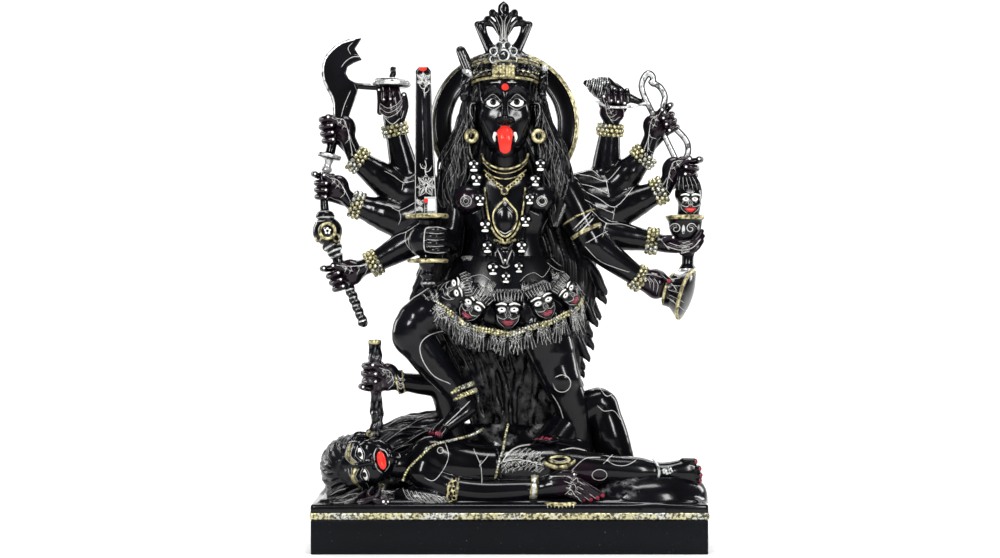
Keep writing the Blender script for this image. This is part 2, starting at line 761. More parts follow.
# Her trunk, with the collar, the garland of skulls and the pendants
trunk = {
    "pitch": 0.92,
    "share": 0.49,
    "garland": [
        (473.7, 164, -21), (475.7, 180, -21), (480.5, 200, -30), (485.0, 224, -23), (488, 247, -23),
        (493, 268, -25), (506, 277.5, -33), (519.5, 267, -25), (522, 245, -23), (525, 221, -23),
        (530, 198, -30), (536, 179, -21), (540, 164, -21),
    ],
    "skull": 6.4,
    "collars": [
        ([(482, 154, -16), (484.5, 161, -20), (494, 167, -24), (505, 169, -25), (516, 167, -24),
          (525.5, 161, -20), (528, 154, -16)], 1.2),
        ([(483, 162, -16), (490, 169, -21), (498, 172.5, -24), (505, 173.5, -25), (512, 172.5, -24),
          (520, 169, -21), (527, 162, -16)], 0.8),
        ([(484, 170, -17), (493, 176.5, -22), (505, 179, -24), (517, 176.5, -22), (526, 170, -17)], 0.9),
    ],
    "chain": [(17.5, 175, -20), (15, 178, -21.5), (12.3, 180.6, -22.5), (9.6, 183, -23.5), (6.8, 185, -24),
              (4, 187, -24.5)],
    "gem": {
        "outline": [(505, 197.5), (511, 205), (516.6, 212), (516.8, 222), (512.5, 231.5), (505, 237),
                    (497.5, 231.5), (493.2, 222), (493.4, 212), (499, 205), (505, 197.5)],
        "band": [(20, 188, -20), (19.6, 197, -23), (17.8, 210, -24), (14.6, 224, -24), (9, 235, -24),
                 (2, 240, -24)],
    },
    "lines": [  # half width, reach, places
        (0.5, 8, [(500, 231, -29), (505, 233.5, -29), (510, 231, -29)]),
        (0.55, 9, [(501, 266, -30), (505, 268, -30), (509, 266, -30)]),
    ],
}


def addSkull(clay, middle, size):
    clay.add(oval(middle, [size, size * 0.95, size]), 0.6)
    clay.add(oval(away(middle, (upWay, -0.85 * size), (frontWay, 0.15 * size)),
                  [0.62 * size, 0.6 * size, 0.5 * size]), 1.2)
    for side in (-1, 1):
        eye = away(middle, (rightWay, side * 0.47 * size), (upWay, 0.16 * size), (frontWay, 0.78 * size))
        clay.add(ball(eye, 0.3 * size), 0.4)
        clay.paint("white", ball(away(eye, (frontWay, 0.12 * size)),
                                 (0.25 - 0.03 * side) * size * chance.uniform(0.85, 1.1)))
    nose = away(middle, (upWay, -0.36 * size), (frontWay, 0.86 * size))
    clay.add(ball(nose, 0.2 * size), 0.3)
    clay.paint("white", ball(away(nose, (frontWay, 0.1 * size)), 0.17 * size))
    jaw = [away(middle, (rightWay, side * 0.38 * size), (upWay, -0.86 * size), (frontWay, 0.72 * size))
           for side in (-1, 1)]
    clay.add(rod(*jaw, 0.2 * size), 0.3)
    clay.paint("white", rod(*[away(end, (frontWay, 0.12 * size)) for end in jaw], 0.2 * size))


def makeTrunk():
    clay = Clay(trunk["pitch"])
    clay.add(rod(at(505, 156, -10), at(505, 180, -4), 13.5, 15))
    clay.add(stack("z", (505, 172, -2, 16, 13), (505, 184, -1, 42, 16), (506, 196, -1, 52, 19),
                   (506, 212, -2, 47, 20), (506, 234, -2, 37, 18), (506, 252, -1, 41, 20),
                   (506, 272, 0, 50, 25), (506, 286, 0, 50, 25)), 5)
    for column in (468, 540):
        clay.add(oval(at(column, 199, -19), [15, 13, 14.5]), 2.5)
        clay.add(ball(at(column + (-2 if column < 500 else 2), 201, -32), 2.2), 0.8)
    for column in (466, 542):
        for radius in (3.4, 5.2) if column > 500 else (2.6, 5.6):
            ringed = [math.radians(a) for a in range(0, 361, 45)]
            clay.line(*[(column + radius * math.sin(a), 201 - radius * math.cos(a), -32) for a in ringed],
                      count=2, half=0.36, reach=8)
        clay.line((column - 11, 211, -28), (column, 215.5, -28), (column + 11, 211, -28), half=0.4, reach=12)
    clay.paint("tint", ball(at(466, 200, -32), 11))
    # The garland hangs on a cord
    cord = [(place[0], place[1], place[2] + 4, 1.8) for place in trunk["garland"]]
    clay.add(limb(*cord), 0.6)
    for column, row, depth in trunk["garland"]:
        place = at(column + chance.uniform(-1, 1), row + chance.uniform(-1.2, 1.2), depth)
        addSkull(clay, place, trunk["skull"] * chance.uniform(0.88, 1.06))
    # Collars, a chain of links and its ring
    for rows, radius in trunk["collars"]:
        clay.trim("gold", limb(*[(column, row, depth, radius) for column, row, depth in rows]), 0.4, 0.25)
    for column, row, depth in trunk["chain"]:
        for side in (-1, 1):
            clay.trim("gold", hoop(at(504.8 + side * column, row, depth), frontWay, 1.7, 0.8), 0.3, 0.15)
    drop = hoop(at(504.6, 191, -25), frontWay, 3.3, 1.0)
    clay.add(drop, 0.3).add(ball(at(504.6, 191, -25), 2.2), 0.2)
    clay.paint("gold", drop, 0.3)
    # The drop-shaped gem between two gold frames
    gem = trunk["gem"]
    clay.add(oval(at(505, 219, -20), [11, 8.5, 17]), 0.8)
    clay.add(card(gem["outline"][:-1], -24, 2.6, 1.2), 0.8)
    frame = limb(*[(column, row, -27, 0.85) for column, row in gem["outline"]], count=3)
    clay.trim("gold", frame, 0.3, 0.2)
    for side in (-1, 1):
        band = limb(*[(505 + side * out, row, depth, 1.15) for out, row, depth in gem["band"]])
        clay.trim("gold", band, 0.4, 0.25)
        clay.line((505, 199, -30), (505 + side * 4.5, 204, -30), (505 + side * 9, 208.5, -30),
                  half=0.6, reach=8)
        clay.line((505 + side * 3, 208, -30), (505 + side * 7, 212, -30), half=0.35, reach=8)
    clay.paint("silver", oval(at(505, 203.5, -29), [3.0, 3, 4.0]), -0.2)
    for place in range(9):
        bead = ball(at(495 + 2.5 * place, 241 + 2.0 * math.cos((place - 4) * 0.5), -24), 1.6)
        clay.trim("gold", bead, 0.2, 0.1)
    # The horned mask under it
    mask = Pose(at(505, 257, -24), (11, 10, 13.5))
    clay.add(mask.oval(0, 0, 0.15, 0.75, 0.7, 0.7), 0.5).add(mask.oval(0, -0.15, -0.6, 0.5, 0.5, 0.5), 1)
    for side in (-1, 1):
        horn = mask.rods([(0.3, -0.3, 0.6, 0.16), (0.62, -0.3, 0.85, 0.14), (0.7, -0.3, 1.1, 0.08)], side)
        clay.add(horn, 0.5)
        clay.cut(mask.oval(side * 0.3, -0.72, 0.18, 0.2, 0.25, 0.15), 0.4)
        clay.paint("tint", mask.oval(side * 0.3, -0.6, 0.18, 0.16, 0.3, 0.12))
        clay.line((505 + side * 2.5, 262, -34), (505 + side * 4, 257, -33), (505 + side * 7.5, 249, -31),
                  half=0.7, reach=9)
    clay.add(mask.rods([(0, -0.6, 0.3, 0.1), (0, -0.85, -0.2, 0.17)]), 0.5)
    clay.paint("white", ball(mask.point(0, -0.95, -0.25), 1.3))
    for half, reach, places in trunk["lines"]:
        clay.line(*places, half=half, reach=reach)
    return fire("goddessTrunk", [clay], polished, trunk["share"])


# A place to carve a head in: its middle between the eyes, its own right and back ways, and its scale
class Pose:
    def __init__(self, middle, scale, right=rightWay, back=backWay, least=0.0):
        self.middle = middle
        self.scale = np.asarray(scale, float) * np.ones(3)
        self.axes = np.array([unitWay(right), unitWay(back), unitWay(np.cross(right, back))])
        self.size = self.scale.mean()
        self.least = least

    def point(self, x, y, z):
        return self.middle + (np.array([x, y, z]) * self.scale) @ self.axes

    def oval(self, x, y, z, wide, deep, high):
        return oval(self.point(x, y, z), np.array([wide, deep, high]) * self.scale, self.axes)

    def points(self, places, side=1):
        return [self.point(side * x, y, z) for x, y, z in places]

    def rods(self, places, side=1):
        points = self.points([place[:3] for place in places], side)
        return strand(points, [max(place[3] * self.size, self.least) for place in places])


# Even proportions: eyes at half the height, the nose's foot midway from brow to chin
def carveFace(clay, pose, fine, eye=(0.27, 0.17)):
    soft = pose.size
    out, half = eye
    clay.add(pose.oval(0, 0.05, 0.22, 0.66, 0.68, 0.74))
    clay.add(pose.oval(0, -0.12, -0.38, 0.56, 0.52, 0.58), 0.2 * soft)
    clay.add(pose.oval(0, -0.50, -0.84, 0.2, 0.15, 0.15), 0.14 * soft)
    for side in (-1, 1):
        clay.add(pose.oval(side * 0.36, -0.36, -0.25, 0.21, 0.19, 0.21), 0.14 * soft)
        clay.cut(pose.oval(side * out, -0.66, 0.03, half * 1.15, 0.14, 0.13), 0.08 * soft)
        clay.add(pose.oval(side * out, -0.45, 0, half, 0.14, 0.1), 0.02 * soft)
        inner, outer = out - half, out + half * 1.1
        if fine:
            upper = [(inner, -0.54, -0.02, 0.022), (out, -0.615, 0.105, 0.03), (outer, -0.42, 0.01, 0.02)]
            lower = [(inner, -0.54, -0.03, 0.018), (out, -0.58, -0.095, 0.02), (outer, -0.42, 0.0, 0.018)]
            clay.add(pose.rods(upper, side), 0.02 * soft).add(pose.rods(lower, side), 0.02 * soft)
        brow = [(0.07, -0.60, 0.2, 0.03), (out, -0.59, 0.3, 0.04), (out + half * 1.2, -0.40, 0.2, 0.02)]
        clay.add(pose.rods(brow, side), 0.06 * soft)
        clay.add(pose.oval(side * 0.115, -0.66, -0.33, 0.075, 0.08, 0.06), 0.04 * soft)
    ridge = pose.rods([(0, -0.60, 0.16, 0.05), (0, -0.68, -0.1, 0.065), (0, -0.77, -0.29, 0.09)])
    clay.add(ridge, 0.06 * soft)


def addEyes(clay, pose, iris=0.065, eye=(0.27, 0.17), tall=0.07):
    out, half = eye
    for side in (-1, 1):
        clay.paint("white", pose.oval(side * out, -0.54, 0, half * 0.95, 0.14, tall))
        clay.paint("ink", pose.oval(side * out, -0.60, 0.01, iris, 0.14, iris * 0.8))
        if tall > 0.08:
            continue
        inner = out - half
        lash = [(inner, -0.56, -0.02, 0.01), (out, -0.64, 0.085, 0.012),
                (out + half * 1.1, -0.44, 0.01, 0.01)]
        clay.paint("ink", pose.rods(lash, side), 0.2)
        over = pose.points([(inner, -0.6, 0.03), (out, -0.62, 0.15), (out + half * 1.15, -0.44, 0.05)], side)
        under = pose.points([(inner, -0.56, -0.06), (out, -0.58, -0.125), (out + half, -0.46, -0.05)], side)
        clay.stroke(curve(over, 4), 0.3, 7).stroke(curve(under, 4), 0.22, 7)


# Her head, with its crown
headLook = {
    "pitch": 0.72,
    "share": 0.4,
    "middle": (505, 105, -6),
    "scale": (43, 50, 55),
    "eye": (0.27, 0.17),
    # Steps out from the middle, row, depth, radius
    "ear": [(29, 102, -14, 1.5), (34, 103, -14, 1.8), (35.5, 112, -13, 1.7), (33, 121, -14, 1.8),
            (31, 127, -15, 1.8)],
    "earLine": [(30, 103), (34, 104), (35, 112), (32, 119)],
    "band": {"wide": 34, "deep": 36, "lean": 0.12, "studs": 34},
    "rims": [  # row, thickness, how much wider than the band, how far the gold spreads
        (84.5, 1.5, 0.0, 0.12), (80.5, 1.2, 1.0, -0.06), (69, 1.4, 1.5, -0.06), (65.5, 1.1, 0.5, 0.08),
    ],
    "capLines": [  # half width, depth, out from the middle and row
        (0.45, -30, [(34, 68), (31, 60), (25, 55), (17, 53)]),
        (0.35, -30, [(31, 70), (24, 62), (16, 59)]),
        (0.5, -36, [(33, 78), (24, 72), (15, 70)]),
    ],
    "leaf": [(498, 46), (500.5, 42.5), (503.5, 38.5), (506.5, 42.5), (509, 46)],
    "leafFace": [(498, 48), (500.5, 42.5), (503.5, 38.8), (506.5, 42.5), (509, 48)],
    "jewelLine": [(-1.4, 1), (0, 2.2), (0.8, 0.2)],
    "petals": 8,
    "rosette": (503.5, 55.5, -39),
}


def makeHead():
    clay = Clay(headLook["pitch"])
    pose = Pose(at(*headLook["middle"]), headLook["scale"])
    carveFace(clay, pose, True, headLook["eye"])
    addEyes(clay, pose, 0.075, headLook["eye"], 0.075)
    for side in (-1, 1):
        # Ears with their rings
        clay.add(oval(at(505 + side * 31, 112, -8), [4, 6, 12]), 1.5)
        clay.cut(oval(at(505 + side * 33, 110, -12), [2.5, 4, 7]), 1)
        clay.add(limb(*[(505 + side * out, *rest) for out, *rest in headLook["ear"]]), 0.8)
        clay.line(*[(505 + side * out, row, -18) for out, row in headLook["earLine"]], half=0.35, reach=10)
        clay.trim("gold", hoop(at(505 + side * 33.5, 136, -20), (side * 0.25, -1, 0), 5.2, 2.2), 0.3, 0.4)
    bindi = ball(pose.point(0, -0.62, 0.27), 3.5)
    clay.add(ball(pose.point(0, -0.585, 0.27), 2.8), 0.6).paint("red", bindi)
    clay.add(ball(pose.point(0, -0.64, 0.06), 1.2), 0.5)
    clay.paint("white", ball(pose.point(0, -0.66, 0.06), 0.9))
    # The open mouth and the tongue
    clay.cut(pose.oval(0, -0.66, -0.56, 0.24, 0.2, 0.075), 1.2)
    lips = pose.rods([(-0.26, -0.52, -0.53, 0.025), (-0.08, -0.655, -0.475, 0.04), (0, -0.645, -0.49, 0.035),
                      (0.08, -0.655, -0.475, 0.04), (0.26, -0.52, -0.53, 0.025)])
    clay.add(lips, 1)
    chin = pose.rods([(-0.25, -0.5, -0.56, 0.03), (-0.12, -0.62, -0.66, 0.05), (0.12, -0.62, -0.66, 0.05),
                      (0.25, -0.5, -0.56, 0.03)])
    clay.add(chin, 1)
    middles = pose.points([(0, -0.48, -0.54), (0, -0.68, -0.57), (0, -0.77, -0.67), (0, -0.74, -0.82)])
    tongue = strand(middles, [7.6, 7.6, 7.0, 5.8], flat=(backWay, 2.4))
    clay.add(tongue, 0.6)
    furrow = pose.points([(0, -0.78, -0.60), (0, -0.87, -0.70), (0, -0.84, -0.81)])
    clay.cut(strand(furrow, [0.8, 0.8, 0.6]), 1.4)
    clay.paint("red", tongue, 0.45)
    clay.paint("red", pose.rods([(-0.22, -0.53, -0.535, 0.016), (0, -0.67, -0.53, 0.03),
                                 (0.22, -0.53, -0.535, 0.016)]), 0.3)
    for place in range(4):
        clay.trim("white", ball(pose.point((place - 1.5) * 0.055, -0.66, -0.505), 1.3), 0.3, 0.2)
    for side in (-1, 1):
        fang = pose.points([(0.22, -0.56, -0.555), (0.25, -0.58, -0.62), (0.235, -0.58, -0.70)], side)
        clay.trim("white", strand(fang, [1.7, 1.7, 0.7]), 0.3, 0.3)
    # The crown: a fluted cap over a band of small studs, with a gilt panel and a rosette
    band = headLook["band"]
    lean = band["lean"]
    clay.add(oval(at(505, 74, -5), [31, 33, 27]), 1.5)
    flutes = oval(at(505, 72, -5), [34, 36, 28])
    capFoot = at(0, 70, 0)[2]

    def fluted(x, y, z):
        return np.where(z > capFoot, 0.6 * np.cos(26 * np.arctan2(y + 5, x + 4.1)), 0)

    clay.relief(fluted, flutes.low, flutes.high, 0.5)
    for row, thick, wider, gilded in headLook["rims"]:
        rim = hoop(at(505, row, -6), (0, lean, 1), band["wide"] - 1 + wider, thick, 1.03)
        clay.trim("gold", rim, 0.6, gilded)
    for place in range(band["studs"]):
        turn = math.radians(place * 360 / band["studs"])
        middle = at(505 + (band["wide"] + 0.5) * math.sin(turn), 75 - lean * band["deep"] * math.cos(turn),
                    -6 - band["deep"] * math.cos(turn))
        clay.add(oval(middle, [2.2, 2.4, 3.4]), 0.5)
        clay.paint("gold", ball(away(middle, (frontWay, 2.0)), 1.0))
    for step in range(7):
        for row in range(4):
            bead = ball(at(494 + step * 3.2, 66.5 + row * 3.1, -44 + abs(step - 3) * 0.6), 1.9)
            clay.trim("gold", bead, 0.4, 0.1)
    for side in (-1, 1):
        for half, depth, places in headLook["capLines"]:
            clay.line(*[(505 + side * out, row, depth) for out, row in places], half=half, reach=24)
        clay.line((505 + side * 5 - 1.5, 81.6, -42), (505 + side * 12 - 1.5, 82, -40), half=0.55, reach=14)
    heart = at(*headLook["rosette"])
    clay.add(oval(away(heart, (backWay, 3)), [14, 6, 14]), 1)
    for place in range(headLook["petals"]):
        turn = math.radians((place + 0.5) * 360 / headLook["petals"])
        outwards = np.array([math.sin(turn), 0, math.cos(turn)])
        petal = hoop(away(heart, (outwards, 10.4), (frontWay, 1.5)), frontWay, 3.6, 0.7)
        clay.trim("silver", petal, 0.3, 0.05)
        clay.add(ball(away(heart, (outwards, 10.4), (frontWay, 1.0)), 1.7), 0.3)
    clay.trim("silver", hoop(away(heart, (frontWay, 3)), frontWay, 5.4, 0.85), 0.3, 0.08)
    clay.add(ball(away(heart, (frontWay, 1)), 3.9), 0.2)
    jewelLine = [away(heart, (upWay, y), (rightWay, x), (frontWay, 4)) for x, y in headLook["jewelLine"]]
    clay.stroke(jewelLine, 0.5, 6)
    leaf = [at(column, row, -36) for column, row in headLook["leaf"]]
    clay.add(card(headLook["leafFace"], -35, 2.2, 0.8), 0.6)
    clay.trim("silver", [rod(p, q, 0.8) for p, q in zip(leaf, leaf[1:])], 0.3, 0.1)
    return fire("goddessHead", [clay, makeFinial(), *makeKnobs()], polished, headLook["share"])


finial = {
    "pitch": 0.72,
    "middle": 503.5,
    "depth": -14,
    # Steps out from the middle, row, steps further back, radius
    "stem": [(0, 56, -8, 6), (0, 46, -2, 5.2), (0, 30, 0, 4.8), (0, 16, 0, 6.2)],
    "horns": [
        [(2, 30, 0, 2.8), (6, 18, 0, 2.8), (11, 12.8, 0, 4.0)],
        [(3, 34, 0, 2.8), (10, 24, 0, 2.8), (16, 19.5, 0, 4.0)],
    ],
    "strut": [(26, 24.5, 0, 3.4), (21, 37, -1, 3.4), (15, 51, -4, 3.6)],
    "loops": [
        [(26, 24.5, 0, 2.8), (19, 23, 0, 3.2), (12, 24, 0, 3.0)],
        [(20, 26, 0, 2.6), (17.5, 36, 0, 2.6), (12, 46, -2, 3), (5, 50, -4, 3)],
    ],
    "tipLine": [(-1.5, 5, -5), (-3, 9, -5), (-1, 13, -5)],
    "lines": [  # half width, reach, places
        (0.35, 12, [(27.5, 27, 0), (17, 50, 0)]),
        (0.33, 9, [(2.4, 44, -6), (3, 28, -6), (7.5, 17, -5)]),
        (0.33, 9, [(3.4, 40, -6), (8, 27, -6), (13, 21, -5)]),
        (0.28, 9, [(0.9, 40, -6), (1.3, 22, -6), (3.5, 16, -6)]),
    ],
    "tallKnob": [  # profiles: share of the way, radius
        (0, 5.6), (0.55, 5.2), (0.85, 4.6), (0.95, 3.6), (1, 2),
    ],
    "knobCollar": [(0, 5.5), (0.3, 7.5), (0.7, 7.5), (1, 5.5)],
    "knobFoot": [(0, 5), (0.25, 4.5), (0.5, 5.2), (0.75, 4.5), (1, 5)],
    "shortKnob": [(0, 4.6), (0.2, 3.4), (0.5, 4.8), (0.8, 3.4), (1, 4)],
}


def makeFinial():
    clay = Clay(finial["pitch"])
    middle, depth = finial["middle"], finial["depth"]

    def placed(places, side=1):
        return [(middle + side * out, row, depth + back, *rest) for out, row, back, *rest in places]

    clay.add(limb(*placed(finial["stem"])), 1)
    clay.add(oval(at(middle, 8.8, depth), [6, 4.8, 6.6]), 1.5)
    clay.add(rod(at(middle, 7, depth), at(middle, 1.8, depth), 3.6, 1.0), 1.6)
    clay.line(*placed(finial["tipLine"]), half=0.4, reach=9)
    for side in (-1, 1):
        for places in finial["horns"]:
            clay.add(limb(*placed(places, side)), 1)
        for places in finial["horns"]:
            out, row = places[-1][:2]
            curl = hoop(at(middle + side * out, row, depth - 3), frontWay, 2.6, 1.0)
            clay.trim("silver", curl, 0.3, -0.45)
        clay.add(limb(*placed(finial["strut"], side)), 0.6)
        for places in finial["loops"]:
            clay.add(limb(*placed(places, side)), 1)
        for half, reach, places in finial["lines"]:
            clay.line(*placed(places, side), half=half, reach=reach)
    return clay


def makeKnobs():  # one tall and one short, at the crown's sides
    tall, short = Clay(finial["pitch"]), Clay(finial["pitch"])
    tall.add(turned(at(469.5, 72, -16), at(459, 46.5, -14), finial["tallKnob"], (7, 0.13, 0)))
    for shift in (-2.4, 0.4, 3):
        tall.line((460 + shift, 52, -18), (466.5 + shift, 68, -20), half=0.3, reach=9)
    collar = turned(at(467, 76, -16), at(470.5, 71, -16), finial["knobCollar"])
    tall.add(collar, 0.4).paint("silver", collar, 0.1)
    tall.add(turned(at(464.5, 97, -16), at(467, 75, -16), finial["knobFoot"], (6, 0.12, 0.5)), 0.4)
    tall.add(ball(at(464, 98, -16), 4), 1)
    top = ball(at(544.5, 68.5, -16), 3.6)
    short.add(top).paint("silver", top, 0.3)
    short.add(turned(at(542, 96, -16), at(544, 71, -16), finial["shortKnob"], (6, 0.12, 0.6)), 0.6)
    return tall, short


# The flat ring behind her head
haloLook = {
    "middle": (504.5, 124.5, 24),
    "radius": 76,
    "opening": 53.5,
    "bevel": 5.2,
    "half": 3.6,
    "parts": 160,
}


def makeHalo():
    middle = at(*haloLook["middle"])
    outer, inner, half = haloLook["radius"], haloLook["opening"], haloLook["half"]
    rim = outer - haloLook["bevel"]
    profile = [  # out, depth, 1 where it is gilt and 2 where it is silvered
        (inner, half * 0.6, 0), (inner - 0.2, -half * 0.3, 2), (inner + 0.6, -half * 0.9, 2),
        (inner + 1.8, -half - 0.3, 0), (inner + 3.0, -half * 0.9, 0), (inner + 4.5, -half * 0.72, 0),
        (rim - 6, -half * 0.72, 0), (rim - 1.5, -half * 0.72, 0), (rim, -half * 0.9, 0),
        (rim + 0.7, -half - 0.3, 1), (rim + 2.2, -half * 0.5, 1), (outer - 1, half * 0.4, 1),
        (outer - 0.3, half * 0.8, 1), (outer - 1.4, half, 0), (rim, half + 0.1, 0),
        ((rim + inner) / 2, half + 0.1, 0), (inner + 2, half + 0.1, 0), (inner + 0.6, half * 0.9, 0),
    ]
    parts, count = haloLook["parts"], len(profile)
    turns = 2 * np.pi * np.arange(parts) / parts
    points = [
        (middle[0] + out * math.cos(a), middle[1] + depth, middle[2] + out * math.sin(a))
        for a in turns for out, depth, _ in profile
    ]
    quads = [
        (i * count + j, i * count + (j + 1) % count, (i + 1) % parts * count + (j + 1) % count,
         (i + 1) % parts * count + j)
        for i in range(parts) for j in range(count)
    ]
    mesh = meshFrom("halo", metres(points), np.array(quads))
    kinds = np.tile([part[2] for part in profile], parts)
    # The gilding is fresh on the right
    fade = np.repeat(0.12 - 0.5 * np.clip(np.cos(turns - 0.25) * 1.4 + 0.15, 0, 1), count)
    gilt, silvered = np.where(kinds == 1, fade, 1.0), np.where(kinds == 2, 0.0, 1.0)
    plain = np.full(len(points), 9.0)
    for key in (*colours, "side", "close", "dust"):
        values = {"gold": gilt, "silver": silvered, "dust": plain * 0}.get(key, plain)
        mesh.attributes.new(key, "FLOAT", "POINT").data.foreach_set("value", values.astype(np.float32))
    return show("halo", mesh, polished)


# The ten arms
arms = {
    "pitch": 1.5,
    "share": 0.42,
    "armsLeft": [
        {"shoulder": (462, 196, 8), "elbow": (408, 184, 34), "wrist": (395, 130, 26), "radii": (15, 15, 10)},
        {"shoulder": (462, 196, 8), "elbow": (403, 194, 28), "wrist": (358, 160, 21),
         "radii": (16, 18, 10.5)},
        {"shoulder": (462, 196, 8), "elbow": (402, 221, 20), "wrist": (357, 205, 18),
         "radii": (16, 18, 10.5)},
        {"shoulder": (462, 196, 8), "elbow": (414, 240, 13), "wrist": (374, 263, 12), "radii": (15, 15, 10)},
        {"shoulder": (453, 190, -2), "elbow": (447, 241, -10), "wrist": (438, 241, -30),
         "radii": (15.5, 14, 10.5), "bangle": False},  # the sword's hilt hides it
    ],
    "armsRight": [
        {"shoulder": (548, 196, 8), "elbow": (605, 180, 34), "wrist": (610, 130, 26), "radii": (15, 15, 10)},
        {"shoulder": (548, 196, 8), "elbow": (611, 192, 28), "wrist": (643, 157, 21),
         "radii": (16, 18, 10.5)},
        {"shoulder": (548, 196, 8), "elbow": (612, 213, 22), "wrist": (659, 191, 16),
         "radii": (16, 18, 10.5)},
        {"shoulder": (548, 196, 8), "elbow": (606, 234, 15), "wrist": (652, 241, 12), "radii": (15, 15, 10)},
        {"shoulder": (566, 192, -2), "elbow": (592, 243, -8), "wrist": (639, 278, 0),
         "radii": (17.5, 14.5, 10)},
    ],
    "creasesLeft": [
        [(385, 171), (394, 176), (403, 182), (415, 180)], [(403, 182), (402, 189)],
        [(377, 203), (390, 206), (399, 210.5), (414, 203)], [(399, 210.5), (401, 218), (399, 224)],
        [(388, 241), (397, 235), (406, 232), (418, 224.5)], [(406, 233), (406, 243), (416, 256)],
    ],
    "creasesRight": [
        [(570.6, 170), (580, 168), (592, 169), (600, 176)],
        [(579.5, 174), (592, 176), (606.6, 180.6), (620, 167)], [(606.6, 180.6), (609, 194)],
        [(581, 184), (594, 187), (609, 194)], [(582, 190), (598, 198), (615, 207), (633, 188)],
        [(615, 207), (613, 219)], [(585, 201), (598, 207), (613, 213)],
        [(590, 211), (606, 223), (622, 224), (635, 228)], [(606, 223), (602, 236)],
        [(585, 248), (600, 262), (627, 272)], [(586, 243), (598, 236), (606, 232)],
    ],
    "creaseDepth": 5,
    "hairline": 0.36,
}


def makeArms(name, creases):
    clay = Clay(arms["pitch"])
    for arm in arms[name]:
        a, b, c = (at(*arm[key]) for key in ("shoulder", "elbow", "wrist"))
        upper, middle, low = arm["radii"]
        clay.add(strand([a, a + (b - a) * 0.5, b], [upper, upper * 1.03, middle]), 3)
        clay.add(strand([b, b + (c - b) * 0.35, c], [middle, middle * 0.95, low]), 3)
    for line in arms[creases]:
        clay.line(*[(column, row, arms["creaseDepth"]) for column, row in line],
                  half=arms["hairline"], reach=34)
    if name == "armsRight":  # the armlet, with its scrolls
        a, b = (at(*arms[name][-1][key]) for key in ("shoulder", "elbow"))
        for share in (0.5, 0.78):
            clay.trim("gold", hoop(a + (b - a) * share, b - a, 17.2 - 2 * share, 1.5), 0.6, 0.5)
        for share in (0.58, 0.7):
            clay.line((572 + 26 * share - 12, 192 + 51 * share + 6, -22),
                      (566 + 26 * share, 192 + 51 * share, -24),
                      (560 + 26 * share + 14, 192 + 51 * share - 8, -22), half=0.8, reach=16)
    return fire(name, [clay], polished, arms["share"])


# Hands closed round what they hold: four fingers one over another, and the thumb
hands = {
    "pitch": 0.88,
    "share": 0.48,
    "spacing": 0.6,
    "thick": 0.31,
    "swordFist": {
        "middle": (427, 240, -46),
        "radii": (18.5, 15, 17.5),
        "fingers": [(230, 427), (236.5, 426), (243, 426), (249.5, 427.5)],
    },
    "handsLeft": [
        {"wrist": (356, 158, 21), "grip": (333, 129.5, 21), "rod": (-0.1, 0, 1), "size": 12, "longest": 9},
        {"wrist": (355, 205, 18), "grip": (327, 187, 18), "rod": (0.05, 0, 1), "size": 11.5},
        {"wrist": (372, 264, 12), "grip": (340.5, 276, 12), "rod": (-0.31, 0, 0.87), "size": 12},
    ],
    "handsRight": [
        {"wrist": (611, 124, 25), "grip": (614, 102, 24), "rod": (-1, 0, 0.2), "size": 11.5},
        {"wrist": (645, 154, 21), "grip": (664, 122, 21), "rod": (-0.4, 0, 0.8), "size": 11.5},
        {"wrist": (663, 190, 16), "grip": (685, 171, 14), "rod": (0.1, 0, 1), "size": 12},
    ],
    "swordFistLines": [  # half width, reach, places
        (0.7, 12, [(430, 227, -58), (425.5, 229, -60), (424, 238, -62), (424.5, 250, -61),
                   (430, 252.5, -60)]),
        (0.4, 20, [(411, 232, -54), (408.5, 240, -52), (410, 249, -53), (415, 255, -56)]),
        (0.4, 12, [(428, 228, -60), (437, 227, -60), (445, 229, -56)]),
    ],
    "discPalm": [(395, 132, 26, 9.5), (394, 116, 25, 11.5), (393, 104, 25, 11), (391, 92, 25, 9.5)],
    "bowlPalm": [(656, 242, 10, 9), (666, 244, 6, 8.8), (680, 246, 4, 7.6), (692, 245, 6, 7)],
    "rightHandLines": [  # half width, reach, places
        (0.36, 14, [(641, 276, -8), (650, 274, -11), (660, 277, -12)]),
        (0.5, 14, [(666, 246, -6), (680, 250, -6), (692, 248, -5), (700, 240, -4)]),
        (0.35, 14, [(670, 243, -6), (681, 246, -6), (692, 243.5, -6)]),
        (0.3, 14, [(659, 238, -6), (664, 243, -7), (669, 249, -7)]),
    ],
}


def addFinger(clay, points, thick, nail=frontWay):
    count = len(points)
    radii = [thick * (1 - 0.16 * place / (count - 1)) for place in range(count)]
    clay.add(strand(points, radii), 0.5)
    mark = away(points[-1], (nail, thick * 0.78))
    clay.paint("white", ball(mark, thick * 0.3))
    for p, q in zip(points, points[1:-1]):
        clay.stroke([away(p, (frontWay, thick)), away((p + q) / 2, (frontWay, thick))], 0.32, 5)


